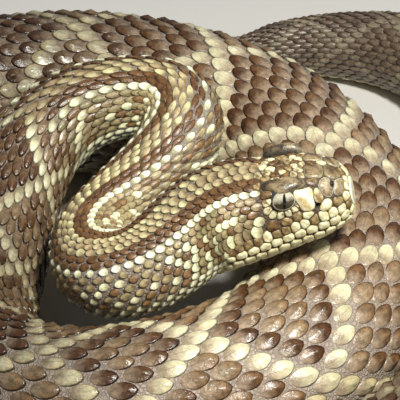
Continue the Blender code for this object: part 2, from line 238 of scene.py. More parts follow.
def surface(along, angle):
    """Points of the body's surface. The angle is in degrees from the top, positive to the snake's left."""
    along, angle = np.broadcast_arrays(np.asarray(along, float), np.asarray(angle, float))
    left, up = unit(at(LEVEL_LEFT, along)), unit(at(LEVEL_UP, along))
    roll = (HEAD_ROLL * (1.0 - eased((along - HEAD_LENGTH) / (ROLL_END - HEAD_LENGTH))))[..., None]
    left, up = left * np.cos(roll) - up * np.sin(roll), up * np.cos(roll) + left * np.sin(roll)
    cosine, sine = np.cos(np.radians(angle)), np.sin(np.radians(angle))
    width = table_value(SECTIONS, along, 1)
    height = np.where(cosine >= 0, table_value(SECTIONS, along, 2), table_value(SECTIONS, along, 3))
    power = 2.0 / (2.0 + (HEAD_BOXINESS - 2.0) * (1.0 - eased((along - BOXY_UNTIL) / BOXY_FADE)))
    out = np.sign(sine) * np.abs(sine) ** power * width
    rise = np.sign(cosine) * np.abs(cosine) ** power * height
    from_side = (np.abs((angle + HALF_TURN) % TURN - HALF_TURN) - BROW_ANGLE) / BROW_SPREAD
    brow = BROW_RISE * np.exp(-(((along - BROW_AT) / BROW_LENGTH) ** 2) - from_side**2)
    grown = 1.0 + brow / np.hypot(out, rise)
    offset = left * (out * grown)[..., None] + up * (rise * grown)[..., None]
    bend = at(BEND, along)
    strength = np.maximum(np.linalg.norm(bend, axis=-1, keepdims=True), 1e-6)
    inward = bend / strength
    share = np.sum(offset * inward, axis=-1, keepdims=True) * strength
    room = SQUEEZE_LIMIT - SQUEEZE_FROM
    pressed = SQUEEZE_FROM + room * np.tanh((share - SQUEEZE_FROM) / room)
    offset = offset + np.where(share > SQUEEZE_FROM, inward * (pressed - share) / strength, 0.0)
    point = at(AXIS, along) + offset
    point[..., 2] = np.maximum(point[..., 2], 0.0)
    return point


STEP_ALONG, STEP_ANGLE = 0.2, 1.0
TIP_LENGTH, TIP_SLIMMING = 16.0, 2.3  # the end of the tail narrows into the rattle


def lifted(along, own, lift):
    """Points lifted off the surface along its normal. The angle is the snake's own, from its back."""
    angle = own + twist(along)
    point = surface(along, angle)
    by_along = surface(along + STEP_ALONG, angle) - surface(along - STEP_ALONG, angle)
    by_angle = surface(along, angle + STEP_ANGLE) - surface(along, angle - STEP_ANGLE)
    normal = np.cross(by_angle, by_along)
    normal /= np.maximum(np.linalg.norm(normal, axis=-1, keepdims=True), 1e-9)
    slimming = TIP_SLIMMING * eased((along - LENGTH + TIP_LENGTH) / TIP_LENGTH)
    point = point + normal * (np.asarray(lift) - slimming)[..., None]
    point[..., 2] = np.maximum(point[..., 2], 0.0)
    return point


def reach_of(along, own):
    """How far the surface goes for one millimetre along and for one degree round, at each place."""
    angle = own + twist(along)
    by_along = surface(along + 0.5, angle) - surface(along - 0.5, angle)
    by_angle = surface(along, angle + STEP_ANGLE) - surface(along, angle - STEP_ANGLE)
    return np.linalg.norm(by_along, axis=-1), np.linalg.norm(by_angle, axis=-1) / (2.0 * STEP_ANGLE)


def head_axes():
    """The snout's tip and the head's own axes: to the rear, to the left, and up."""
    left, up = LEVEL_LEFT[0], LEVEL_UP[0]
    c, s = math.cos(HEAD_ROLL), math.sin(HEAD_ROLL)
    return AXIS[0], TANGENT[0], left * c - up * s, up * c + left * s


def in_head(rear, side, up):
    tip, to_rear, to_left, to_up = head_axes()
    return tip + to_rear * rear + to_left * side + to_up * up


def middle_of(node):
    low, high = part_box(node)
    return 0.5 * (np.array(low) + np.array(high))


SHIFT = middle_of("eye_right") / MM - in_head(EYE_AT, -EYE_OUT, EYE_UP)


def world(points):
    """From the pose's millimetres to the frame's metres."""
    return (points + SHIFT) * MM


# -------------------------------------------------------- the lattice of scales and the markings on it

ROWS = 13  # rows of back scales on each side of the middle one
SIDE_ANGLE = 130.0  # where the belly plates begin
ROW_ANGLE = SIDE_ANGLE / (ROWS + 0.5)
# Length of a scale's place along the body, by distance from the snout.
PITCHES = (
    (0.0, 2.4), (25.0, 2.4), (44.0, 2.3), (62.0, 2.2), (80.0, 2.8), (105.0, 3.7), (135.0, 4.3),
    (200.0, 5.8), (270.0, 7.0), (380.0, 7.2), (850.0, 7.0), (930.0, 6.4), (1038.0, 5.4), (1116.0, 4.2),
)
FINE_STEP = 0.5
FINE = np.arange(0.0, LENGTH + FINE_STEP, FINE_STEP)
FINE_PITCH = table_value(PITCHES, FINE[:-1] + 0.5 * FINE_STEP, 1)
STATION_OF = np.concatenate([[0.0], np.cumsum(FINE_STEP / FINE_PITCH)])
FIRST_CROSSING = 314.8  # one place where two rhombs meet on the back, at a whole station
STATION_OF -= np.interp(FIRST_CROSSING, FINE, STATION_OF) % 1.0


def station(along):
    return np.interp(along, FINE, STATION_OF)


def along_at(number):
    return np.interp(number, STATION_OF, FINE)


HEARTS_FROM, HEARTS_TO = 280.0, 380.0  # where the rhombs have tan hearts
# How light the colours are along the body: painted light and shade, lighter on the lit neck and the front of
# the coil, darker on the turns that lie in shade.
PAINTED_LIGHT_ALONG = (
    (0.0, 1.1), (60.0, 1.35), (130.0, 1.3), (170.0, 0.85), (230.0, 0.44), (280.0, 0.47), (318.0, 0.8),
    (380.0, 0.76), (440.0, 0.8), (520.0, 0.42), (1116.0, 0.46),
)
STRIPES_END, STRIPES_FRAY = 176.0, 10.0  # the neck's stripes give way to rhombs, over a ragged stretch
RHOMBS_BACK = (6, 7, 7, 6, 6, 7, 6)  # lengths of the rhombs in scales, towards the tail, over and over
RHOMBS_FORE = (5, 6, 5, 6, 5, 5)  # and towards the neck
SPARE_STATIONS = 8  # how far the rhombs go on past both ends of the body


def crossings():
    """Stations where neighbouring rhombs meet on the back."""
    marks = [round(float(station(FIRST_CROSSING)))]
    behind, before = itertools.cycle(RHOMBS_BACK), itertools.cycle(RHOMBS_FORE)
    while marks[-1] < STATION_OF[-1] + SPARE_STATIONS:
        marks.append(marks[-1] + next(behind))
    while marks[0] > -SPARE_STATIONS:
        marks.insert(0, marks[0] - next(before))
    return np.array(marks, float)


CROSSINGS = crossings()


def rgb(red, green, blue):
    """A colour given on the usual 0-255 scale, as linear light."""
    values = np.array((red, green, blue)) / 255.0
    return np.where(values > 0.04045, ((values + 0.055) / 1.055) ** 2.4, values / 12.92)


CREAM = rgb(240, 233, 196)
PALE = rgb(204, 190, 144)
TAN = rgb(166, 141, 108)
BROWN = rgb(126, 93, 61)
DARK = rgb(96, 62, 37)
OLIVE = rgb(134, 122, 86)
GREY_SKIN = rgb(150, 135, 125)
SCALE_ROOT = rgb(176, 154, 130)  # the buried half of the trunk's scales
SOFT_SKIN = rgb(178, 163, 151)  # the skin between the trunk's scales
HEAD_SKIN = rgb(74, 56, 42)
HOLLOW_SHADE = rgb(26, 16, 12)  # painted shade inside the mouth line, the nostrils and the pits, and round the eyes' sockets
WARM_EDGE = np.array((0.72, 0.55, 0.38))  # how a dark scale's outer edge is tinted
BRIGHTEST = 0.94  # no scale reflects more of the light than this
FORE_TINT_AND_LIGHT = np.array((1.06, 1.17, 1.18))  # the head and neck are greener than the trunk, and painted lighter, for the light that falls on them

# Rows from the middle of the back where one zone of the markings ends and the next begins.
HEART_ROWS, FLANK_ROWS, LOW_ROWS = 7.5, 12.5, 11.5
EDGE, BORDER = 0.8, 3.0  # how far inside a rhomb's outline its pale edge and its dark border reach
# The neck's stripes: the row that each begins beyond, its two colours, and how far they mix.
STRIPES = ((0.5, PALE, TAN, 1.0), (1.5, DARK, BROWN, 0.6), (3.5, CREAM, PALE, 0.3), (4.5, TAN, OLIVE, 1.0))


def blend(first, second, share):
    share = np.asarray(share)[..., None]
    return first * (1.0 - share) + second * share


def either(test, yes, no):
    """One colour or the other at each place."""
    return np.where(test[..., None], yes, no)


def rhombs(number, side, chance):
    """The trunk's rhombs: heart, dark border and pale edge, with paler scales between them on the flanks."""
    i = np.clip(np.searchsorted(CROSSINGS, number, side="right") - 1, 0, len(CROSSINGS) - 2)
    size = CROSSINGS[i + 1] - CROSSINGS[i]
    middle = 0.5 * (CROSSINGS[i + 1] + CROSSINGS[i])
    off_middle = 2.0 * np.abs(number - middle)
    inside = size - (off_middle + side)
    along = along_at(number)
    lit = (along > HEARTS_FROM) & (along < HEARTS_TO)
    hearts = either(lit, blend(TAN, BROWN, chance * 0.5), blend(BROWN, DARK, chance * 0.6))
    colour = blend(BROWN, TAN, eased(chance * 1.6 - 0.2))
    colour = either((inside > BORDER) & (side < HEART_ROWS), hearts, colour)
    colour = either((inside > EDGE) & (inside <= BORDER), blend(DARK, BROWN, chance * 0.55), colour)
    colour = either(np.abs(inside) <= EDGE, blend(CREAM, PALE, chance * 0.35), colour)
    low = side - size
    beyond = (low > 0.5) & (np.abs(np.abs(2.0 * (number - middle)) - low) < EDGE) & (side < FLANK_ROWS)
    colour = either(beyond, blend(CREAM, PALE, 0.4 + chance * 0.5), colour)
    return either(side > LOW_ROWS, blend(PALE, OLIVE, chance * 0.8), colour)


def stripes(side, chance):
    """The neck: a tan back, a dark stripe on each side of it, a pale row, and speckled olive flanks."""
    colour = blend(TAN, PALE, chance * 0.6)
    for first_row, first, second, mixing in STRIPES:
        colour = either(side > first_row, blend(first, second, chance * mixing), colour)
    colour = either((side > 4.5) & (chance < 0.22), BROWN, colour)
    colour = either((side > 5.5) & (chance > 0.74), blend(PALE, CREAM, 0.5), colour)
    return either(side > 10.5, blend(CREAM, OLIVE, chance * 0.5), colour)


def markings(number, row, chance):
    """Colours by station and row, for scales or for the skin between them, with painted light and shade along
    the body. chance is 0-1 for each place.
    """
    side, along = np.abs(row), along_at(number)
    striped = along + STRIPES_FRAY * (chance - 0.5) < STRIPES_END
    colour = either(striped, stripes(side, chance), rhombs(number, side, chance))
    # The head and neck take a greener tint and painted light, which fade out along the neck.
    fore_tint_and_light = blend(FORE_TINT_AND_LIGHT, np.ones(3), eased((along - STRIPES_END + 30.0) / 60.0))
    # Painted light and shade: the colours are made lighter or darker along the body by the table of painted
    # light.
    colour = colour * fore_tint_and_light * table_value(PAINTED_LIGHT_ALONG, along, 1)[..., None]
    tail = eased((along - VENT) / 30.0)
    return blend(colour, blend(colour, GREY_SKIN * 0.5, 0.55), tail)


# -------------------------------------------------------- meshes

def new_mesh(name, points, faces, attributes, uv=None):
    """One object from points in the frame's metres. attributes are point arrays, 3 or 4 numbers wide."""
    mesh = bpy.data.meshes.new(name)
    mesh.vertices.add(len(points))
    mesh.vertices.foreach_set("co", np.asarray(points, np.float32).ravel())
    sizes = np.concatenate([np.full(len(part), part.shape[1]) for part in faces])
    loops = np.concatenate([part.ravel() for part in faces])
    mesh.loops.add(len(loops))
    mesh.loops.foreach_set("vertex_index", loops.astype(np.int32))
    mesh.polygons.add(len(sizes))
    mesh.polygons.foreach_set("loop_start", np.concatenate([[0], np.cumsum(sizes)[:-1]]).astype(np.int32))
    mesh.update(calc_edges=True)
    mesh.validate()
    for title, values in attributes.items():
        kind, key = ("FLOAT_COLOR", "color") if values.shape[1] == 4 else ("FLOAT_VECTOR", "vector")
        layer = mesh.attributes.new(title, kind, "POINT")
        layer.data.foreach_set(key, np.asarray(values, np.float32).ravel())
    if uv is not None:
        layer = mesh.uv_layers.new(name="OFBake")
        layer.data.foreach_set("uv", np.asarray(uv[loops], np.float32).ravel())
    mesh.shade_smooth()
    made = bpy.data.objects.new(name, mesh)
    bpy.context.scene.collection.objects.link(made)
    return made


def round_after(sides):
    """The numbers of the points round a ring, and of the point after each."""
    k = np.arange(sides)
    return k, (k + 1) % sides


def tube(rings, sides):
    """The quads between neighbouring rings of points."""
    k, after = round_after(sides)
    bands = [
        np.stack([r * sides + k, (r + 1) * sides + k, (r + 1) * sides + after, r * sides + after], -1)
        for r in range(rings - 1)
    ]
    return np.concatenate(bands)


def full_turn(count):
    """Evenly spaced angles all the way round, in radians."""
    return 2.0 * np.pi * np.arange(count) / count


def opaque(colour):
    """Colours with full alpha, one row for each point."""
    return np.concatenate([colour, np.ones(colour.shape[:-1] + (1,))], axis=-1).reshape(-1, 4)


UNWRAP_MARGIN = 0.01
PATCH = 0.0015  # half the width of one scale's patch on the unwrap


def unwrap(along, own):
    """Where a place on the skin lies on the flat unwrap."""
    inner = 1.0 - 2.0 * UNWRAP_MARGIN
    return UNWRAP_MARGIN + np.stack([inner * along / LENGTH, inner * (own + HALF_TURN) / TURN], -1)


def scale_grid(points, rings):
    """A disc of rings, closed underneath: unit x and y, ring share, whether on the buried edge, and faces."""
    turns = full_turn(points)
    turns = turns + 0.16 * np.sin(2.0 * turns)  # closer together at the two ends, where the keel runs
    shares = np.concatenate([[0.0], np.repeat(rings, points), np.ones(points), [0.0]])
    angles = np.concatenate([[0.0], np.tile(turns, len(rings) + 1), [0.0]])
    buried = np.concatenate([np.zeros(1 + points * len(rings)), np.ones(points + 1)])
    tris, quads = [], []
    for k in range(points):
        after = (k + 1) % points
        tris.append((0, 1 + k, 1 + after))
        for ring in range(len(rings)):
            near, far = 1 + ring * points, 1 + (ring + 1) * points
            quads.append((near + k, far + k, far + after, near + after))
        last = 1 + len(rings) * points
        tris.append((last + after, last + k, last + points))
    return np.cos(angles) * shares, np.sin(angles) * shares, shares, buried, np.array(tris), np.array(quads)


def repeated(tris, quads, count, each):
    """The faces of count copies of one scale, which has each points."""
    offsets = (np.arange(count) * each)[:, None, None]
    return [(tris[None] + offsets).reshape(-1, 3), (quads[None] + offsets).reshape(-1, 4)]


SHAPE_FINE = (16, (0.34, 0.62, 0.84, 0.96))  # points round a scale, and the shares of its rings
SHAPE_SMALL = (12, (0.4, 0.75, 0.93))
SHAPE_BELLY = (24, (0.4, 0.75, 0.95))
# What every plate of the belly shares.
BELLY_SHAPE = {
    "turn": 0.0, "taper": 0.03, "tilt": 0.8, "dome": 0.2, "keel": 0.0, "bump": 0.0, "rim_dark": 0.25,
    "edge_warm": 0.0,
}
# A scale's outline, in its own thickness: the buried root, and its rise to the tip.
RIM_DEPTH, RIM_RISE = -1.3, 0.5
UNDERSIDE = -1.5
FADE_FROM, FADE_OVER = 0.22, 0.44  # along a scale, where its root's colour turns into its tip's


def build_scales(name, grid, places):
    """Joined scales. places holds one array for each property of the scales, all of the same length."""
    x, y, share, buried, tris, quads = scale_grid(*grid)
    count, each = len(places["along"]), len(x)
    col = {key: np.asarray(value)[:, None] for key, value in places.items() if np.ndim(value) == 1}
    narrow = 1.0 - col["taper"] * np.clip(x, 0, 1) ** 3 - 0.22 * np.clip(-x, 0, 1) ** 2
    local_x = 0.5 * col["length"] * x
    local_y = 0.5 * col["width"] * (y * narrow)
    c, s = np.cos(col["turn"]), np.sin(col["turn"])
    turned_x, turned_y = local_x * c - local_y * s, local_x * s + local_y * c
    reach_along, reach_round = reach_of(places["along"], places["own"])
    stretch = np.clip(reach_along, 0.45, 2.2) ** 0.85
    along = np.clip(col["along"] + turned_x / stretch[:, None], 0.0, LENGTH)
    own = col["own"] + turned_y / np.maximum(reach_round, 0.03)[:, None]
    t = 0.5 * (x + 1.0)
    rim = RIM_DEPTH + (RIM_RISE + col["tilt"]) * t**0.8
    dome = col["dome"] * (1.0 - share**2.4)
    keel = col["keel"] * np.exp(-((y / 0.13) ** 2)) * (1.0 - share**4) * eased(t * 1.5)
    bump = col["bump"] * np.exp(-(((x - 0.36) / 0.3) ** 2) - ((y / 0.36) ** 2))
    lift = col["thick"] * np.where(buried > 0, UNDERSIDE, rim + dome + keel + bump)
    points = lifted(along, own, lift)
    uv = unwrap(places["along"], places["own"])[:, None, :] + PATCH * np.stack([x, y], axis=-1)[None]
    fade = eased((t - FADE_FROM) / FADE_OVER)[None, :] * np.ones((count, 1))
    tip, base = places["tip"][:, None, :], places["base"][:, None, :]
    tint = base * (1.0 - fade[..., None]) + tip * fade[..., None]
    edge = col["edge_warm"] * (eased((share - 0.42) / 0.45) * eased((t - 0.25) / 0.35))[None, :]
    tint = tint * (1.0 - edge[..., None] * (1.0 - WARM_EDGE))
    # Each scale's free edge is darkened: partly its own dark rim, partly painted shadow where the edge stands
    # over the next scale.
    dim = 1.0 - col["rim_dark"] * eased((share - 0.86) / 0.09)[None, :] * eased((t - 0.3) / 0.3)[None, :]
    tint = np.clip(tint * dim[..., None], 0.0, BRIGHTEST)
    local = np.stack(np.broadcast_arrays(x[None], y[None], col["chance"]), axis=-1)
    attributes = {"tint": opaque(tint), "local": local.reshape(-1, 3)}
    faces = repeated(tris, quads, count, each)
    made = new_mesh(name, world(points.reshape(-1, 3)), faces, attributes, uv.reshape(-1, 2))
    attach(made, "root")
    return made


# How far the skin lies below the scales' outer reach, by distance from the snout.
SKIN_DEPTHS = ((0.0, 0.3), (40.0, 0.4), (120.0, 0.44), (250.0, 0.6), (950.0, 0.62), (1116.0, 0.35))


def skin_depth(along):
    return table_value(SKIN_DEPTHS, along, 1)


def lattice(first, last, rows):
    """Stations and rows of the scales between two distances, in staggered rows."""
    low, high = math.ceil(station(first)), math.ceil(station(last))
    runs = [np.arange(low, high) + (0.5 if row % 2 else 0.0) for row in rows]
    return np.concatenate(runs), np.concatenate([np.full(len(run), row) for run, row in zip(runs, rows)])


SCATTER = 0.03  # how far scales stray from their places on the lattice, in stations and rows
KEELED_ROWS, BUMPED_ROWS = 11.5, 9.5


def back_scales(name, first, last, grid, seed):
    """One length of the body's back and side scales."""
    rng = np.random.default_rng(seed)
    number, row = lattice(first, last, range(-ROWS, ROWS + 1))
    kept = head_row_kept(along_at(number), row * ROW_ANGLE)
    number, row = number[kept], row[kept]
    count = len(number)
    chance = rng.random(count)
    along = along_at(number + rng.normal(0.0, SCATTER, count))
    own = (row + rng.normal(0.0, SCATTER, count)) * ROW_ANGLE
    pitch = table_value(PITCHES, along, 1)
    spacing = np.maximum(reach_of(along, own)[1], 0.05) * ROW_ANGLE
    body = eased((along - 150.0) / 120.0)
    fore = 1.0 - eased((along - 28.0) / 8.0)
    tip = markings(number, row, chance)
    light = np.clip(tip.mean(axis=-1) / CREAM.mean(), 0.0, 1.0)
    beads = (light > 0.8) & (along > 62.0) & (along < STRIPES_END)
    grown = rng.normal(1.0, 0.05, count)
    # The scales' roots carry the same painted light and shade along the body.
    root = blend(BROWN * 0.6, SCALE_ROOT * table_value(PAINTED_LIGHT_ALONG, along, 1)[:, None], body)
    places = {
        "along": along,
        "own": own,
        "length": pitch * (1.26 + 0.16 * fore - 0.2 * body - 0.26 * beads) * grown,
        "width": spacing * (1.14 + 0.12 * fore + 0.1 * body + 0.1 * beads) * grown,
        "turn": rng.normal(0.0, 0.06, count),
        "taper": 0.34 + rng.normal(0.0, 0.05, count),
        "thick": skin_depth(along),
        "tilt": 0.85 + rng.normal(0.0, 0.08, count),
        "dome": 0.42 + 0.2 * body + 0.5 * beads + rng.normal(0.0, 0.05, count),
        "keel": np.where(np.abs(row) < KEELED_ROWS, 0.34, 0.08),
        "bump": np.where(np.abs(row) < BUMPED_ROWS, body * (0.2 + (1.0 - light) * (0.3 + 0.6 * chance)), 0.0),
        "rim_dark": 0.72 + 0.1 * (1.0 - body),
        "edge_warm": (0.25 + 0.5 * body) * (1.0 - eased((light - 0.35) / 0.4)),
        "chance": chance,
        "tip": tip,
        "base": blend(tip, root, 0.7 + 0.15 * body),
    }
    return build_scales(name, grid, places)


def belly_plates(name, first, last, seed):
    """The wide plates under the body, one for each station."""
    rng = np.random.default_rng(seed)
    number, row = lattice(first, last, [0])
    count = len(number)
    along, own = along_at(number), np.full(count, HALF_TURN)
    chance = rng.random(count)
    tip = blend(CREAM * 0.92, PALE, chance)
    places = {
        "along": along,
        "own": own,
        "length": table_value(PITCHES, along, 1) * 1.2,
        "width": reach_of(along, own)[1] * (TURN - 2.0 * SIDE_ANGLE),
        "thick": skin_depth(along),
        "chance": chance,
        "tip": tip,
        "base": tip * 0.9,
    }
    places.update({key: np.full(count, value) for key, value in BELLY_SHAPE.items()})
    return build_scales(name, SHAPE_BELLY, places)


# -------------------------------------------------------- the head's plates

HEAD_REACH = 60.0  # how much of the front of the body the head's own surface covers
GROUND_STEP, GROUND_TURN = 0.25, 2.0


class HeadGround:
    """The head's smooth surface as a mesh that points can be dropped onto."""

    def __init__(self):
        along = np.arange(0.0, HEAD_REACH, GROUND_STEP)
        own = np.arange(-HALF_TURN, HALF_TURN, GROUND_TURN)
        sides = len(own)
        points = surface(along[:, None], own[None, :] + twist(along)[:, None]).reshape(-1, 3)
        k, after = round_after(sides)
        tip = np.stack([np.full(sides, len(points)), k, after], -1)
        points = np.vstack([points, points[:sides].mean(axis=0)])
        faces = tip.tolist() + tube(len(along), sides).tolist()
        self.tree = BVHTree.FromPolygons([Vector(point) for point in points], faces)

    def drop(self, points):
        """The nearest places on the surface, and the surface's outward direction at each."""
        places, normals = np.empty_like(points), np.empty_like(points)
        for i, point in enumerate(points):
            places[i], normals[i] = self.tree.find_nearest(Vector(point))[:2]
        middle = AXIS[np.argmin(np.linalg.norm(places[:, None] - AXIS[None, :80:4], axis=-1), axis=1) * 4]
        inward = np.sum(normals * (places - middle), axis=-1) < 0
        normals[inward] *= -1.0
        return places, normals


def head_place(points):
    """Points in the head's own axes: to the rear, to the left, and up."""
    tip, to_rear, to_left, to_up = head_axes()
    offset = points - tip
    return offset @ to_rear, offset @ to_left, offset @ to_up


def mouth_height(rear):
    """The height of the mouth line in the head's axes."""
    return np.interp(rear, (JAW_FRONT, MOUTH_END), (MOUTH_FRONT, MOUTH_BACK))


# Plates with a place of their own, on the right and the left alike. Each has a kind, a weight in millimetres
# that makes it hold more ground than its neighbours, and places by distance from the snout and angle.
NAMED_PLATES = (
    ("internasal", 0.6, ((2.6, 9), (2.6, 22), (4.2, 8), (4.2, 24))),
    ("canthal", 0.8, ((6.6, 8), (6.6, 24), (8.8, 8), (8.8, 24))),
    ("side_canthal", 0.0, ((7.8, 40), (9.8, 40))),
    ("nasal", 0.7, ((5.0, 40), (5.8, 49), (5.2, 58))),
    ("nasal", 0.7, ((1.9, 38), (2.0, 50), (2.6, 60))),
    ("loreal", 0.5, ((7.6, 60), (7.8, 69))),
    ("preocular", 1.2, ((9.8, 57), (11.4, 59), (11.6, 67), (10.0, 70), (10.8, 76))),
    ("brow", 1.2, ((10.8, 41), (12.4, 38), (14.2, 36), (16.2, 34), (18.0, 32), (19.2, 31))),
)
# The plate on the snout's front, in the head's axes.
ROSTRAL_REAR, ROSTRAL_SIDES, ROSTRAL_HEIGHTS = -1.0, (-2.4, 0.0, 2.4), (-1.6, 0.8)
MENTAL_AT, MENTAL_DROP = 1.6, 1.4  # the plate on the chin's front, below the mouth
RING_ANGLES = (14, -14, -42, -70, -98, -126, -152)  # the small scales around the eye, from the rear downward
RING_RADIUS = 3.75
EYE_OPENING = 2.85
LID = 1.4  # how much flatter the opening is below than at its sides
NOSTRIL_AT, NOSTRIL_ANGLE, NOSTRIL_SIZE = 3.8, 45.0, 0.8
PIT_AT, PIT_ANGLE, PIT_SIZE = 8.2, 79.0, 0.75
HOLES = ((NOSTRIL_AT, NOSTRIL_ANGLE, NOSTRIL_SIZE), (PIT_AT, PIT_ANGLE, PIT_SIZE))
LIP_PITCH, LIP_RISE, LIP_GAP = 3.0, 1.5, 0.12
MOUTH_FROM = -0.1 * JAW_FRONT
SECOND_RISE, SECOND_PITCH = 3.9, 2.4  # the row above the upper lip
UPPER_LIP_FROM, LOWER_LIP_FROM, SECOND_FROM = 4.2, 2.6, 5.5  # where the rows begin, along the mouth
PALE_BEFORE_EYE, PALE_BEHIND_EYE = 0.8, 0.22  # shares of pale scales in that row
# Distances from the snout, and the angles from the back where the rows of scales end there.
LIP_TOPS = ((22.0, 93.0), (34.0, 98.0), (40.0, 114.0), (46.0, 130.0))
THROAT_END = 47.5
THROAT_SEEDS, THROAT_ARC = 9, (140.0, 220.0)
CROWN_ANGLE, CHIN_FROM = 32.0, 112.0
FILL_TRIES = 9000
# The small scales that fill the rest of the head, by zone: the angles from the back between which it lies,
# the distance from the snout where it begins, and its kinds, each with the chance below which it is taken.
FILL_ZONES = (
    (CHIN_FROM, HALF_TURN, 0.0, (("chin", 1.0),)),
    (0.0, CROWN_ANGLE, 0.0, (("pale", 0.22), ("ring", 0.45), ("tan", 0.75), ("brown", 1.0))),
    (CROWN_ANGLE, 62.0, 17.0, (("brown", 0.45), ("ring", 0.75), ("pale", 1.0))),
    (CROWN_ANGLE, CHIN_FROM, 15.0, (("cheek", 0.5), ("brown", 0.85), ("pale", 1.0))),
    (CROWN_ANGLE, CHIN_FROM, 9.0, (("cheek", 0.45), ("brown", 0.65), ("pale", 1.0))),
    (CROWN_ANGLE, CHIN_FROM, 0.0, (("pale", 0.7), ("cheek", 1.0))),
)
CROWN_SPACING, SNOUT_SPACING, CHEEK_SPACING, CHIN_SPACING = 1.7, 2.0, 2.3, 3.2
CHEEK_FROM = 17.0

# Colours of each kind of plate: its middle, its mottling, its edge.
PLATE_COLOURS = {
    "internasal": (rgb(156, 130, 96), rgb(92, 68, 46), rgb(150, 136, 110)),
    "canthal": (rgb(160, 134, 98), rgb(90, 62, 42), rgb(168, 150, 118)),
    "side_canthal": (rgb(142, 112, 78), rgb(90, 62, 42), rgb(110, 86, 62)),
    "nasal": (rgb(170, 148, 116), rgb(134, 104, 76), rgb(206, 200, 182)),
    "loreal": (rgb(202, 184, 144), rgb(150, 116, 76), rgb(186, 168, 130)),
    "preocular": (rgb(238, 228, 194), rgb(200, 168, 122), rgb(214, 198, 160)),
    "brow": (rgb(158, 134, 102), rgb(84, 68, 54), rgb(70, 60, 52)),
    "rostral": (rgb(214, 204, 176), rgb(176, 156, 118), rgb(236, 230, 210)),
    "lip": (rgb(236, 226, 188), rgb(204, 180, 136), rgb(204, 184, 140)),
    "lower_lip": (rgb(228, 216, 176), rgb(200, 180, 138), rgb(196, 178, 136)),
    "chin": (rgb(232, 222, 188), rgb(206, 190, 150), rgb(214, 202, 166)),
    "ring": (rgb(204, 192, 156), rgb(136, 106, 68), rgb(150, 126, 92)),
    "pale": (rgb(238, 228, 190), rgb(204, 182, 136), rgb(190, 166, 120)),
    "tan": (rgb(176, 148, 104), rgb(124, 92, 58), rgb(136, 106, 70)),
    "brown": (rgb(132, 98, 60), rgb(90, 62, 36), rgb(98, 70, 44)),
    "cheek": (rgb(158, 132, 90), rgb(116, 88, 56), rgb(112, 84, 54)),
}
BROW_RIM = np.array((0.34, 0.26, 0.15))  # the brow plate's outer edge, over the eye


def mouth_path():
    """The mouth line, as points on the surface, from the middle of the front round to the left."""
    rear = np.concatenate([[1.3], np.geomspace(1.4, MOUTH_END, 120)])
    width, depth = table_value(SECTIONS, rear, 1), table_value(SECTIONS, rear, 3)
    share = 1.0 - (np.abs(mouth_height(rear)) / depth) ** HEAD_BOXINESS
    side = width * np.clip(share, 0.0, 1.0) ** (1.0 / HEAD_BOXINESS)
    front = np.linspace(0.0, side[0], 12, endpoint=False)
    rear = np.concatenate([np.full(len(front), rear[0]), rear])
    side = np.concatenate([front, side])
    return np.stack([in_head(r, s, mouth_height(r)) for r, s in zip(rear, side)])


def lip_places(ground, rise, pitch, first):
    """Places at even steps along the mouth, a little above or below it, on both sides."""
    path = mouth_path()
    gone = np.concatenate([[0.0], np.cumsum(np.linalg.norm(np.diff(path, axis=0), axis=1))])
    steps = np.arange(first, gone[-1], pitch)
    points = np.stack([np.interp(steps, gone, path[:, k]) for k in range(3)], axis=1)
    tip, to_rear, to_left, to_up = head_axes()
    places, normals = ground.drop(points)
    upward = to_up - normals * (normals @ to_up)[:, None]
    places = ground.drop(places + unit(upward) * rise)[0]
    mirrored = places - 2.0 * ((places - tip) @ to_left)[:, None] * to_left
    return places, ground.drop(mirrored)[0]


def head_seeds(ground, rng):
    """Every plate of the head that has a place by rule: its kind, its weight and the places that it holds."""
    plates = []
    for kind, weight, spots in NAMED_PLATES:
        for sign in (1.0, -1.0):
            plates.append((kind, weight, np.array([surface(along, sign * angle) for along, angle in spots])))
    rostral = [in_head(ROSTRAL_REAR, side, up) for side in ROSTRAL_SIDES for up in ROSTRAL_HEIGHTS]
    plates.append(("rostral", 0.9, ground.drop(np.array(rostral))[0]))
    for kind, rise, first in (("lip", LIP_RISE, UPPER_LIP_FROM), ("lower_lip", -LIP_RISE, LOWER_LIP_FROM)):
        for row in lip_places(ground, rise, LIP_PITCH, first):
            plates += [(kind, 0.0, spot[None]) for spot in row]
    mental = in_head(MENTAL_AT, 0.0, mouth_height(MENTAL_AT) - MENTAL_DROP)
    plates.append(("lower_lip", 0.2, ground.drop(mental[None])[0]))
    for row in lip_places(ground, SECOND_RISE, SECOND_PITCH, SECOND_FROM):
        pale = np.where(head_place(row)[0] < EYE_AT, PALE_BEFORE_EYE, PALE_BEHIND_EYE)
        for spot, share in zip(row, pale):
            plates.append(("lip" if rng.random() < share else "cheek", 0.0, spot[None]))
    for sign in (1.0, -1.0):
        for turn in map(math.radians, RING_ANGLES):
            rear = EYE_AT + RING_RADIUS * math.cos(turn)
            up = EYE_UP + RING_RADIUS / LID * math.sin(turn)
            plates.append(("ring", 0.0, ground.drop(in_head(rear, sign * (EYE_OUT + 2.0), up)[None])[0]))
    return plates


def fill_spacing(along, angle):
    """Millimetres between the small scales that fill a part of the head."""
    if angle > CHIN_FROM:
        return CHIN_SPACING
    if angle < CROWN_ANGLE:
        return CROWN_SPACING
    return SNOUT_SPACING if along < CHEEK_FROM else CHEEK_SPACING


def fill_kind(along, angle, chance):
    for low, high, first, kinds in FILL_ZONES:
        if low < angle < high and along > first:
            return next(kind for kind, limit in kinds if chance < limit)


def head_row_kept(along, own):
    """Which scales of the body's rows there are on the head: those above the lips and the throat."""
    return (along > THROAT_END) | (np.abs(own) < np.interp(along, *zip(*LIP_TOPS)))


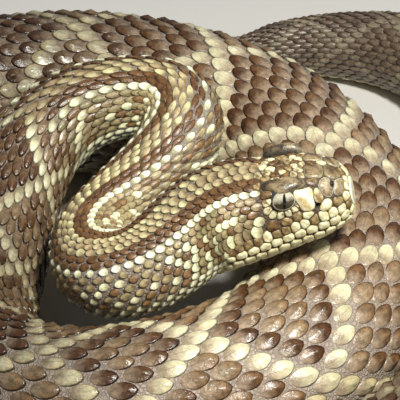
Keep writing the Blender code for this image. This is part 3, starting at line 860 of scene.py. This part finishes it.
def head_plates(ground):
    """The head's plates, the places that the body's rows hold beside them, and the random draws."""
    rng = np.random.default_rng(21)
    plates = head_seeds(ground, rng)
    numbers, rows = lattice(LIP_TOPS[0][0], 56.0, range(-ROWS, ROWS + 1))
    row_along, row_own = along_at(numbers), rows * ROW_ANGLE
    kept = head_row_kept(row_along, row_own)
    neighbours = surface(row_along[kept], row_own[kept] + twist(row_along[kept]))
    belly = surface(np.full(THROAT_SEEDS, THROAT_END + 1.0), np.linspace(*THROAT_ARC, THROAT_SEEDS))
    blocked = np.vstack([neighbours, belly])
    taken = np.vstack([spots for kind, weight, spots in plates] + [blocked])
    along = rng.uniform(0.6, THROAT_END, FILL_TRIES)
    angle = rng.uniform(-HALF_TURN, HALF_TURN, FILL_TRIES)
    spots = surface(along, angle + twist(along))
    in_rows = (along > LIP_TOPS[0][0]) & (np.abs(angle) < np.interp(along, *zip(*LIP_TOPS)))
    for i in np.flatnonzero(~in_rows):
        size = fill_spacing(along[i], abs(angle[i]))
        if in_hollow(spots[i][None], size * 0.35)[0]:
            continue
        if np.min(np.linalg.norm(taken - spots[i], axis=1)) < size:
            continue
        plates.append((fill_kind(along[i], abs(angle[i]), rng.random()), 0.0, spots[i][None]))
        taken = np.vstack([taken, spots[i]])
    return plates, blocked, rng


def in_hollow(points, margin=0.0):
    """Whether points of the head lie in the mouth, an eye's opening, a nostril or a pit."""
    rear, side, up = head_place(points)
    inside = np.abs(up - mouth_height(rear)) < LIP_GAP + 0.3 * margin
    inside &= (rear < MOUTH_END) & (rear > MOUTH_FROM)
    from_eye = np.hypot(rear - EYE_AT, np.where(up < EYE_UP, LID, 1.0) * (up - EYE_UP))
    inside |= (from_eye < EYE_OPENING + margin) & (np.abs(side) > 0.5 * EYE_OUT)
    for along, angle, size in HOLES:
        for sign in (1.0, -1.0):
            inside |= np.linalg.norm(points - surface(along, sign * angle), axis=-1) < size + margin
    return inside


PLATE_SIDES, PLATE_RINGS = 22, (0.3, 0.58, 0.8, 0.93)
MARCH_STEP, MARCH_END, HALVINGS = 0.35, 7.0, 3
SEAM, SMALLEST_REACH, SMALLEST_PLATE = 0.03, 0.05, 0.35
STRETCHES = {"brow": 2.4, "canthal": 1.3}  # how much longer than wide the long plates are
BROW_OVERHANG = 1.7  # from this far over the eye's middle the brow plate may cover its opening
BROW_RISE_RIGHT, BROW_RISE_LEFT = 0.75, 2.0


def grown(count, belongs):
    """How far a plate reaches in each of its directions before its own ground ends."""
    reach, beyond = np.zeros(count), np.full(count, MARCH_END)
    going = np.arange(count)
    for radius in np.arange(MARCH_STEP, MARCH_END, MARCH_STEP):
        mine = belongs(going, np.full(len(going), radius))
        reach[going[mine]] = radius
        beyond[going[~mine]] = radius
        going = going[mine]
        if len(going) == 0:
            break
    for halving in range(HALVINGS):
        middle = 0.5 * (reach + beyond)
        mine = belongs(np.arange(count), middle)
        reach, beyond = np.where(mine, middle, reach), np.where(mine, beyond, middle)
    reach = 0.5 * reach + 0.25 * (np.roll(reach, 1) + np.roll(reach, -1))
    return np.maximum(reach - SEAM, SMALLEST_REACH)


def plate_tint(kind, x, y, share, below, rng):
    """The mottled colours of one plate. below is how far each of its points lies under its centre."""
    main, second, edge = PLATE_COLOURS[kind]
    phase = rng.uniform(0.0, 2.0 * np.pi, 4)
    wave = np.sin(2.6 * x + phase[0]) * np.cos(2.2 * y + phase[1])
    wave = wave + 0.5 * np.sin(5.1 * x + 4.3 * y + phase[2])
    tint = blend(main * rng.normal(1.0, 0.06), second, eased(0.38 + 0.75 * wave))
    if kind == "brow":
        tint = blend(tint, second * 0.8, eased((np.abs(x) - 0.4) / 0.35))
        edge = blend(edge[None], BROW_RIM[None], eased(below / 0.9))
    tint = blend(tint, edge, eased((share - 0.78) / 0.16))
    # The head's plates take the same greener tint and painted light as the neck.
    return opaque(np.clip(tint * FORE_TINT_AND_LIGHT, 0.0, BRIGHTEST))


def build_head_plates(ground):
    """The head's plates as one mesh, each grown from its places until it meets its neighbours."""
    plates, blocked, rng = head_plates(ground)
    counts = [len(spots) for kind, weight, spots in plates] + [len(blocked)]
    owners = np.repeat(np.append(np.arange(len(plates)), -1), counts)
    weights = np.repeat([weight for kind, weight, spots in plates] + [0.0], counts)
    seeds = np.vstack([spots for kind, weight, spots in plates] + [blocked])
    x, y, share, buried, tris, quads = scale_grid(PLATE_SIDES, PLATE_RINGS)
    tip, to_rear, to_left, to_up = head_axes()
    turns = full_turn(PLATE_SIDES)
    turns = turns + 0.16 * np.sin(2.0 * turns)
    depth = float(skin_depth(10.0))
    all_points, all_tints, all_locals, all_uvs = [], [], [], []
    for i, (kind, weight, spots) in enumerate(plates):
        centre, normal = (found[0] for found in ground.drop(spots.mean(axis=0)[None]))
        bearing = np.arctan2(np.sin(turns), STRETCHES.get(kind, 1.0) * np.cos(turns))
        aside = unit(np.cross(normal, to_rear))
        behind = np.cross(aside, normal)
        rays = np.cos(bearing)[:, None] * behind + np.sin(bearing)[:, None] * aside

        def belongs(numbers, radius):
            """Whether the places at these distances along the numbered rays are this plate's own ground."""
            places = ground.drop(centre + rays[numbers] * radius[:, None])[0]
            near = np.sum((places[:, None] - seeds[None]) ** 2, axis=-1) - weights**2
            hollow = in_hollow(places)
            if kind == "brow":
                hollow &= head_place(places)[2] < EYE_UP + BROW_OVERHANG
            return (owners[np.argmin(near, axis=1)] == i) & ~hollow

        reach = grown(PLATE_SIDES, belongs)
        size = reach.mean()
        if size < SMALLEST_PLATE:
            continue
        spread = np.concatenate([[0.0], np.tile(reach, len(PLATE_RINGS) + 1), [0.0]]) * share
        angles = np.concatenate([[0.0], np.tile(bearing, len(PLATE_RINGS) + 1), [0.0]])
        flat = centre + spread[:, None] * (np.cos(angles)[:, None] * behind + np.sin(angles)[:, None] * aside)
        places, normals = ground.drop(flat)
        rise = depth * (0.55 + 0.35 * float(eased((size - 0.6) / 1.0))) * rng.normal(1.0, 0.08)
        squareness = 2.4 + 3.0 * float(eased((size - 0.9) / 1.2))
        if kind == "brow":
            rise += BROW_RISE_RIGHT if spots[:, 1].mean() < tip[1] else BROW_RISE_LEFT
        profile = -0.8 * depth + rise * (1.0 - share**squareness) + 0.14 * (1.0 - share**9)
        lift = np.where(buried > 0, -2.2 * depth, profile)
        below = head_place(centre[None])[2] - head_place(places)[2]
        all_points.append(places + normals * lift[:, None])
        all_tints.append(plate_tint(kind, x, y, share, below, rng))
        all_locals.append(np.stack([x, 1.2 + share, np.full(len(x), rng.random())], -1))
        all_uvs.append(unwrap(*rear_and_angle(centre)) + PATCH * np.stack([x, y], -1))
    faces = repeated(tris, quads, len(all_points), len(x))
    attributes = {"tint": np.vstack(all_tints), "local": np.vstack(all_locals)}
    made = new_mesh("head_plates", world(np.vstack(all_points)), faces, attributes, np.vstack(all_uvs))
    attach(made, "root")
    return made


def rear_and_angle(point):
    """The distance from the snout and the angle of a place on the head, near enough for the unwrap."""
    along = np.argmin(np.linalg.norm(AXIS[:80] - point, axis=1))
    tip, to_rear, to_left, to_up = head_axes()
    offset = point - AXIS[along]
    return np.array(float(along)), np.array(math.degrees(math.atan2(offset @ to_left, offset @ to_up)))


def hollowed(points, along):
    """The skin with the head's hollows pressed in, and how deep each point went, 0 to 1, which is also how
    much painted shade it gets.
    """
    rear, side, up = head_place(points)
    front = (along < HEAD_REACH).astype(float)
    mouth = np.exp(-(((up - mouth_height(rear)) / 0.42) ** 2))
    mouth = mouth * (1.0 - eased((rear - MOUTH_END + 2.0) / 3.0)) * front
    from_eye = np.linalg.norm(np.stack([rear - EYE_AT, up - EYE_UP], -1), axis=-1)
    socket = (1.0 - eased((from_eye - 2.6) / 0.9)) * eased((np.abs(side) - 5.0) / 3.0) * front
    holes = np.zeros(len(points))
    for place, angle, size in HOLES:
        for sign in (1.0, -1.0):
            away = np.linalg.norm(points - surface(place, sign * angle), axis=-1)
            holes = np.maximum(holes, 1.0 - eased((away - 0.4 * size) / size))
    holes *= front
    inward = at(AXIS, np.maximum(along, 6.0)) - points
    inward /= np.maximum(np.linalg.norm(inward, axis=-1, keepdims=True), 1e-6)
    depth = np.maximum(np.maximum(1.3 * mouth, 2.4 * socket), holes)
    return points + inward * depth[:, None], np.maximum(np.maximum(mouth, holes), 0.8 * socket)


# -------------------------------------------------------- the eyes

EYE_RINGS, EYE_SIDES = 40, 64
EYE_ACROSS, EYE_BULGE = 3.9, 2.6  # half the eyeball's width, and how far its front stands from its centre
EYE_FORWARD, EYE_UPWARD = 0.16, 0.10  # how far it looks forward and up, as shares of how far it looks out


def build_eye(name, sign):
    """One eyeball. Its local attribute is the place on the iris, to the rear and up, in eye radii."""
    tip, to_rear, to_left, to_up = head_axes()
    outward = unit(to_left * sign - to_rear * EYE_FORWARD + to_up * EYE_UPWARD)
    level = unit(to_rear - outward * (to_rear @ outward))
    upright = np.cross(outward, level)
    upright *= np.sign(upright @ to_up)
    polar = np.pi * np.arange(1, EYE_RINGS) / EYE_RINGS
    turns = full_turn(EYE_SIDES)
    wide = np.sin(polar)[:, None]
    rings = (wide * np.cos(turns), wide * np.sin(turns), np.cos(polar)[:, None] * np.ones(EYE_SIDES))
    flat = np.vstack([(0.0, 0.0, 1.0), np.stack(rings, -1).reshape(-1, 3), (0.0, 0.0, -1.0)])
    centre = in_head(EYE_AT, sign * EYE_OUT, EYE_UP)
    across = flat[:, :1] * level + flat[:, 1:2] * upright
    points = centre + EYE_ACROSS * across + EYE_BULGE * flat[:, 2:] * outward
    k, after = round_after(EYE_SIDES)
    last = len(flat) - 1
    tris = np.concatenate([
        np.stack([np.zeros(EYE_SIDES, int), 1 + k, 1 + after], -1),
        np.stack([np.full(EYE_SIDES, last), last - EYE_SIDES + after, last - EYE_SIDES + k], -1),
    ])
    quads = 1 + tube(EYE_RINGS - 1, EYE_SIDES)
    if np.cross(level, upright) @ outward < 0:
        tris, quads = tris[:, ::-1], quads[:, ::-1]
    made = new_mesh(name, world(points), [tris, quads], {"local": flat})
    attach(made, "root")
    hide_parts(name.replace("iris", "eye"))
    return made


# -------------------------------------------------------- the rattle

RATTLE_SEGMENTS, RATTLE_PITCH, RATTLE_START = 7, 4.4, 0.3
RATTLE_HEIGHT, RATTLE_WIDTH, RATTLE_TAPER = 12.0, 7.4, 0.045
# One segment: shares of its pitch, and its size there. The lobes are the bell inside, showing through.
RATTLE_BELL = (
    (0.0, 0.73), (0.07, 0.9), (0.2, 0.99), (0.4, 1.0), (0.56, 0.95), (0.64, 0.86), (0.72, 0.9),
    (0.84, 0.88), (0.93, 0.78), (1.0, 0.73),
)
RATTLE_CLOSE = (0.93, 0.8, 0.58, 0.3)  # how the last rings draw in
BELL_RINGS, BELL_SIDES = 18, 56
SIDE_GROOVE, GROOVE_WIDTH = 0.14, 0.28  # how far the groove along each side goes in, and how wide it is
HORN_DARK, HORN_WORN = rgb(58, 44, 30), rgb(158, 136, 100)


def build_rattle():
    """Seven loose horny segments in a row, each a flattened bell with a groove along its sides."""
    level = unit(np.array((TANGENT[-1][0], TANGENT[-1][1], 0.0)))
    steps = np.arange(RATTLE_SEGMENTS * BELL_RINGS + 1) / BELL_RINGS
    segment = np.minimum(steps.astype(int), RATTLE_SEGMENTS - 1)
    swell = table_value(RATTLE_BELL, steps - segment, 1)
    swell[-len(RATTLE_CLOSE):] *= RATTLE_CLOSE
    size = 1.0 - RATTLE_TAPER * segment
    turns = full_turn(BELL_SIDES)
    waist = 1.0 - SIDE_GROOVE * np.exp(-((np.cos(turns) / GROOVE_WIDTH) ** 2))
    across = 0.5 * RATTLE_WIDTH * (size * swell)[:, None] * np.sin(turns) * waist
    rise = 0.5 * RATTLE_HEIGHT * (size * swell)[:, None] * np.cos(turns)
    centres = AXIS[-1] + level * (RATTLE_START + RATTLE_PITCH * steps)[:, None]
    centres[:, 2] = 0.5 * RATTLE_HEIGHT * size
    upward = np.array((0.0, 0.0, 1.0))
    points = centres[:, None] + LEVEL_LEFT[-1] * across[..., None] + upward * rise[..., None]
    quads = tube(len(steps), BELL_SIDES)[:, [0, 3, 2, 1]]
    ring = np.arange(BELL_SIDES)[None]
    faces = [quads, ring[:, ::-1], (len(steps) - 1) * BELL_SIDES + ring]
    worn = eased((swell - 0.74) / 0.24)[:, None] * waist[None, :]
    attributes = {"tint": opaque(blend(HORN_DARK, HORN_WORN, worn))}
    made = new_mesh("rattle_bells", world(points.reshape(-1, 3)), faces, attributes)
    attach(made, "root")
    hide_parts("rattle")
    return made


# -------------------------------------------------------- the skin

SKIN_SIDES = 128
SKIN_STEPS = ((0.0, 44.0, 0.25), (44.0, 150.0, 1.0), (150.0, LENGTH, 1.8))  # stretches, with their steps
CHANCE, LOCAL_SCALE = 0.5, 10.0  # the skin has no scales of its own, so one middling chance does for it all


def skin_mesh():
    """The one skin under all the scales, with the same markings, paler, with painted light and shade along it
    and painted shade in its gaps and hollows.
    """
    places = np.concatenate([np.arange(*stretch) for stretch in SKIN_STEPS])
    rings = len(places)
    own = -HALF_TURN + TURN * np.arange(SKIN_SIDES) / SKIN_SIDES
    along, around = np.meshgrid(places, own, indexing="ij")
    points, dark = hollowed(lifted(along, around, -skin_depth(along)).reshape(-1, 3), along.ravel())
    dark = dark.reshape(along.shape)
    ring = np.arange(SKIN_SIDES)[None]
    faces = [tube(rings, SKIN_SIDES), ring, (rings - 1) * SKIN_SIDES + ring[:, ::-1]]
    chance = np.full(along.shape, CHANCE)
    colour = markings(station(along), np.clip(around / ROW_ANGLE, -ROWS, ROWS), chance)
    below = eased((np.abs(around) - SIDE_ANGLE + 8.0) / 10.0)
    # The skin between the scales carries the same painted light and shade along the body.
    between = SOFT_SKIN * table_value(PAINTED_LIGHT_ALONG, along, 1)[..., None]
    colour = blend(blend(colour, between, 0.86), PALE, below)
    # Painted shade: the skin between the scales is darker towards the head, for the deep shade in the narrow
    # gaps between the neck's scales.
    colour = colour * (0.5 + 0.5 * eased((along - 120.0) / 100.0))[..., None]
    colour = blend(colour, HEAD_SKIN, 0.8 * (1.0 - eased((along - 24.0) / 14.0)))
    # Painted shade in the mouth line, the nostrils, the pits and round the eyes, by how deep each point lies.
    colour = blend(colour, HOLLOW_SHADE, dark)
    local = np.stack([along / LOCAL_SCALE, around / LOCAL_SCALE, chance], -1).reshape(-1, 3)
    attributes = {"tint": opaque(colour), "local": local}
    made = new_mesh("skin", world(points), faces, attributes, unwrap(along, around).reshape(-1, 2))
    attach(made, "root")
    flesh = ["head", "lower_jaw", "neck", "tail"] + [f"trunk_{k:02d}" for k in range(1, 11)]
    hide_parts(*flesh)
    return made


# -------------------------------------------------------- materials

class Nodes:
    """Short names for building one material's node tree."""

    def __init__(self, name):
        self.material = bpy.data.materials.new(name)
        self.material.use_nodes = True
        self.tree = self.material.node_tree

    def fill(self, sockets, inputs):
        """Give each socket named its link or its constant."""
        for key, value in inputs.items():
            if isinstance(value, bpy.types.NodeSocket):
                self.tree.links.new(value, sockets[key])
            else:
                sockets[key].default_value = value

    def shaded(self, inputs):
        """The material, with its shader's own sockets filled."""
        self.fill(self.tree.nodes["Principled BSDF"].inputs, inputs)
        return self.material

    def add(self, kind, inputs=None, **settings):
        node = self.tree.nodes.new(kind)
        for key, value in settings.items():
            setattr(node, key, value)
        self.fill(node.inputs, inputs or {})
        return node

    def attribute(self, name, output):
        return self.add("ShaderNodeAttribute", attribute_name=name).outputs[output]

    def place(self):
        return self.add("ShaderNodeTexCoord").outputs["Object"]

    def math(self, operation, first, second=0.0, clamp=False):
        inputs = {0: first, 1: second}
        return self.add("ShaderNodeMath", inputs, operation=operation, use_clamp=clamp).outputs[0]

    def product(self, first, *others):
        for other in others:
            first = self.math("MULTIPLY", first, other)
        return first

    def mix(self, kind, factor, first, second):
        inputs = {0: factor, 6: first, 7: second}
        return self.add("ShaderNodeMix", inputs, data_type="RGBA", blend_type=kind).outputs[2]

    def noise(self, vector, scale, detail=3.0, roughness=0.55):
        inputs = {"Vector": vector, "Scale": scale, "Detail": detail, "Roughness": roughness}
        return self.add("ShaderNodeTexNoise", inputs).outputs["Fac"]

    def stretched(self, vector, scale):
        return self.add("ShaderNodeVectorMath", {0: vector, 1: scale}, operation="MULTIPLY").outputs[0]

    def ramp(self, value, low, high, from_value=0.0, to_value=1.0):
        inputs = {"Value": value, "From Min": low, "From Max": high, "To Min": from_value, "To Max": to_value}
        return self.add("ShaderNodeMapRange", inputs, clamp=True).outputs[0]

    def spread(self, noise, low, high):
        """A noise brought from its usual range to another one."""
        return self.ramp(noise, 0.3, 0.7, low, high)

    def flecks(self, tint, light, brightness, depths, top):
        """Dark flecks where light is 0, deeper on dark colours than on pale ones, and top where it is 1."""
        depth = self.ramp(self.add("ShaderNodeRGBToBW", {0: tint}).outputs[0], *brightness, *depths)
        return self.math("ADD", self.product(light, self.math("SUBTRACT", top, depth)), depth)

    def painted(self, tint, tone):
        """A colour, lighter or darker by a tone."""
        grey = self.add("ShaderNodeCombineColor", {0: tone, 1: tone, 2: tone}).outputs[0]
        return self.mix("MULTIPLY", 1.0, tint, grey)

    def bump(self, height, distance, strength=1.0, under=None):
        inputs = {"Height": height, "Distance": distance, "Strength": strength}
        if under is not None:
            inputs["Normal"] = under
        return self.add("ShaderNodeBump", inputs).outputs[0]


KEEL_LINE = (0.05, 0.03, 0.015, 1.0)


def scale_material():
    n = Nodes("scale_keratin")
    tint, local, place = n.attribute("tint", "Color"), n.attribute("local", "Vector"), n.place()
    grain = n.noise(place, 900.0, 4.0)
    streaks = n.noise(n.stretched(local, (1.6, 13.0, 37.0)), 1.0, 3.0)
    cloud = n.noise(place, 260.0, 2.0)
    light = n.ramp(n.noise(place, 620.0, 3.0, 0.65), 0.38, 0.6)
    flecks = n.flecks(tint, light, (0.06, 0.45), (0.5, 0.9), 1.08)
    tone = n.product(n.spread(grain, 0.84, 1.12), n.spread(streaks, 0.86, 1.1), n.spread(cloud, 0.85, 1.12))
    across = n.add("ShaderNodeSeparateXYZ", {0: local}).outputs[1]
    from_keel = n.math("ABSOLUTE", n.math("ADD", across, n.spread(cloud, -0.06, 0.06)))
    line = n.ramp(from_keel, 0.0, 0.07, 0.3, 0.0)
    height = n.math("ADD", n.product(streaks, 0.6), n.product(grain, 0.4))
    lumps = n.bump(n.noise(place, 1400.0, 2.0), 0.0003, 0.45)
    return n.shaded({
        "Base Color": n.mix("MIX", line, n.painted(tint, n.product(tone, flecks)), KEEL_LINE),
        "Roughness": n.spread(grain, 0.2, 0.42),
        "Normal": n.bump(height, 0.00012, 0.6, lumps),
        "Specular IOR Level": 0.45,
        "Coat Weight": 0.1,
        "Coat Roughness": 0.12,
    })


def plate_material():
    n = Nodes("head_keratin")
    tint, local, place = n.attribute("tint", "Color"), n.attribute("local", "Vector"), n.place()
    veins = n.noise(place, 1500.0, 5.0, 0.7)
    rings = n.noise(n.stretched(local, (2.0, 9.0, 41.0)), 1.0, 3.0)
    flecks = n.flecks(tint, n.ramp(veins, 0.4, 0.56), (0.1, 0.6), (0.5, 0.86), 1.06)
    tone = n.product(flecks, n.spread(n.noise(place, 500.0, 3.0), 0.84, 1.12))
    lumps = n.bump(n.noise(place, 1300.0, 2.0), 0.00022, 0.5)
    return n.shaded({
        "Base Color": n.painted(tint, tone),
        "Roughness": n.spread(veins, 0.22, 0.42),
        "Normal": n.bump(n.math("ADD", rings, veins), 0.00012, 0.6, lumps),
        "Coat Weight": 0.12,
        "Coat Roughness": 0.12,
    })


def horn_material():
    n = Nodes("rattle_horn_dry")
    place = n.place()
    grain = n.noise(place, 1400.0, 5.0, 0.65)
    streaks = n.noise(n.stretched(place, (500.0, 2600.0, 2600.0)), 1.0, 3.0)
    cloud = n.spread(n.noise(place, 220.0, 3.0), 0.75, 1.1)
    tone = n.product(n.ramp(grain, 0.35, 0.65, 0.78, 1.1), n.spread(streaks, 0.8, 1.12), cloud)
    return n.shaded({
        "Base Color": n.painted(n.attribute("tint", "Color"), tone),
        "Roughness": n.spread(grain, 0.34, 0.58),
        "Normal": n.bump(n.math("ADD", streaks, grain), 0.0002, 0.6),
    })


def skin_material():
    n = Nodes("soft_skin")
    place = n.place()
    drift = n.add("ShaderNodeTexNoise", {"Vector": place, "Scale": 700.0, "Detail": 3.0}).outputs["Color"]
    drift = n.stretched(drift, (0.0016, 0.0016, 0.0016))
    bent = n.add("ShaderNodeVectorMath", {0: place, 1: drift}, operation="ADD").outputs[0]
    folds = {"Vector": bent, "Scale": 1000.0}
    folds = n.add("ShaderNodeTexVoronoi", folds, feature="DISTANCE_TO_EDGE").outputs[0]
    creases = n.ramp(folds, 0.0, 0.22)
    grain = n.noise(place, 1200.0, 4.0)
    # Painted shade: the skin's colour is darker in its fine creases.
    tone = n.product(n.ramp(creases, 0.0, 1.0, 0.76, 1.04), n.spread(grain, 0.85, 1.1))
    return n.shaded({
        "Base Color": n.painted(n.attribute("tint", "Color"), tone),
        "Normal": n.bump(n.math("ADD", creases, n.product(grain, 0.5)), 0.00025, 0.7),
        "Roughness": 0.5,
        "Specular IOR Level": 0.4,
    })


# The iris: dark below, pale above, with a buff ring and a dark rim at these shares of its radius.
IRIS_DARK = ((0.012, 0.009, 0.004, 1.0), (0.085, 0.065, 0.032, 1.0))
IRIS_PALE = ((0.34, 0.31, 0.22, 1.0), (0.78, 0.74, 0.58, 1.0))
IRIS_BANDS = ((0.62, 0.66, (0.5, 0.47, 0.34, 1.0)), (0.68, 0.72, (0.05, 0.05, 0.045, 1.0)))
PUPIL_BLACK = (0.002, 0.002, 0.003, 1.0)
PUPIL_LEAN, PUPIL_UP, PUPIL_TALL, PUPIL_WIDE = 0.24, 0.05, 0.53, 0.12


def eye_material():
    n = Nodes("wet_eye")
    local = n.attribute("local", "Vector")
    rear, up = n.add("ShaderNodeSeparateXYZ", {0: local}).outputs[:2]
    leaning = n.math("ADD", rear, n.product(up, PUPIL_LEAN))
    off_middle = n.math("DIVIDE", n.math("SUBTRACT", up, PUPIL_UP), PUPIL_TALL)
    shrink = n.math("SQRT", n.math("SUBTRACT", 1.0, n.math("POWER", off_middle, 2.0), clamp=True))
    edge = n.math("SUBTRACT", n.math("ABSOLUTE", leaning), n.product(shrink, PUPIL_WIDE))
    below = n.product(n.math("MINIMUM", up, 0.0), LID)
    height = n.math("ADD", n.math("MAXIMUM", up, 0.0), below)
    out = n.math("SQRT", n.math("ADD", n.product(rear, rear), n.product(height, height)))
    angle = n.math("ARCTAN2", up, rear)
    around = n.add("ShaderNodeCombineXYZ", {0: n.product(angle, 5.0), 1: n.product(out, 3.0)}).outputs[0]
    fibres = n.noise(around, 3.0, 5.0, 0.7)
    specks = n.product(n.math("SUBTRACT", n.noise(local, 9.0, 5.0, 0.7), 0.5), 0.45)
    dark, pale = (n.mix("MIX", n.ramp(fibres, 0.35, 0.65), *colours) for colours in (IRIS_DARK, IRIS_PALE))
    iris = n.mix("MIX", n.ramp(n.math("ADD", up, specks), -0.02, 0.3), dark, pale)
    for low, high, colour in IRIS_BANDS:
        iris = n.mix("MIX", n.ramp(out, low, high), iris, colour)
    return n.shaded({
        "Base Color": n.mix("MIX", n.ramp(edge, -0.024, -0.002, 1.0, 0.0), iris, PUPIL_BLACK),
        "Roughness": 0.22,
        "Coat Weight": 1.0,
        "Coat Roughness": 0.03,
        "Normal": n.bump(fibres, 0.00008, 0.4),
    })


# -------------------------------------------------------- studio

VIEW_ELEVATION = math.radians(38.0)
VIEW_TARGET = (0.0, 0.0, 48.0)
VIEW_DISTANCE, VIEW_SPAN, SENSOR = 450.0, 100.0, 36.0
CLIP_START = 0.01
WHITE = (1.0, 1.0, 1.0)
# Each light's name, place, target, size, power and colour, in metres and watts.
LIGHTS = (
    ("key", (0.14, -0.18, 0.48), (0.02, -0.02, 0.04), 0.09, 4.0, (1.0, 0.98, 0.90)),
    ("fill", (0.3, -0.7, 0.6), (0.0, 0.0, 0.03), 0.8, 0.3, WHITE),
    ("rim", (0.3, 0.8, 0.6), (0.0, 0.0, 0.03), 0.6, 0.3, WHITE),
)
SKY, SKY_STRENGTH = (0.9, 0.93, 1.0, 1.0), 0.16
FLOOR_HALF, FLOOR_COLOUR, FLOOR_ROUGHNESS = 1.5, (0.62, 0.61, 0.59, 1.0), 0.8


def build_camera():
    camera = bpy.data.cameras.new("camera")
    camera.sensor_width = SENSOR
    camera.lens = SENSOR * VIEW_DISTANCE / VIEW_SPAN
    camera.clip_start = CLIP_START
    made = bpy.data.objects.new("camera", camera)
    back = np.array((0.0, -math.cos(VIEW_ELEVATION), math.sin(VIEW_ELEVATION))) * VIEW_DISTANCE
    made.location = Vector(world(np.array(VIEW_TARGET) + back))
    made.rotation_euler = (math.pi / 2 - VIEW_ELEVATION, 0.0, 0.0)
    bpy.context.scene.collection.objects.link(made)
    bpy.context.scene.camera = made


def area_light(name, place, target, size, power, colour):
    light = bpy.data.lights.new(name, "AREA")
    light.shape = "DISK"
    light.size = size
    light.energy = power
    light.color = colour
    made = bpy.data.objects.new(name, light)
    made.location = place
    made.rotation_euler = (Vector(target) - Vector(place)).to_track_quat("-Z", "Y").to_euler()
    bpy.context.scene.collection.objects.link(made)


def build_studio():
    bpy.context.scene.view_settings.view_transform = "Standard"
    for light in LIGHTS:
        area_light(*light)
    backdrop = bpy.data.worlds.new("studio")
    backdrop.use_nodes = True
    sky = backdrop.node_tree.nodes["Background"]
    sky.inputs["Color"].default_value = SKY
    sky.inputs["Strength"].default_value = SKY_STRENGTH
    bpy.context.scene.world = backdrop
    corners = FLOOR_HALF * np.array(((-1, -1, 0), (1, -1, 0), (1, 1, 0), (-1, 1, 0)))
    floor = new_mesh("floor", corners, [np.array([[0, 1, 2, 3]])], {})
    pale = Nodes("pale_floor").shaded({"Base Color": FLOOR_COLOUR, "Roughness": FLOOR_ROUGHNESS})
    floor.data.materials.append(pale)


def main():
    build_camera()
    build_studio()
    keratin, soft = scale_material(), skin_material()
    skin_mesh().data.materials.append(soft)
    coats = [
        back_scales("scales_head_rear", 22.0, 60.0, SHAPE_SMALL, 1),
        back_scales("scales_neck", 60.0, 200.0, SHAPE_SMALL, 2),
        back_scales("scales_trunk_1", 200.0, 440.0, SHAPE_FINE, 3),
        back_scales("scales_trunk_2", 440.0, 740.0, SHAPE_FINE, 4),
        back_scales("scales_trunk_3", 740.0, 920.0, SHAPE_FINE, 5),
        back_scales("scales_tail", 920.0, LENGTH - 2.0, SHAPE_FINE, 7),
        belly_plates("belly_plates", 47.0, LENGTH - 2.0, 6),
    ]
    build_head_plates(HeadGround()).data.materials.append(plate_material())
    build_rattle().data.materials.append(horn_material())
    wet = eye_material()
    build_eye("iris_left", 1.0).data.materials.append(wet)
    build_eye("iris_right", -1.0).data.materials.append(wet)
    for coat in coats:
        coat.data.materials.append(keratin)


main()
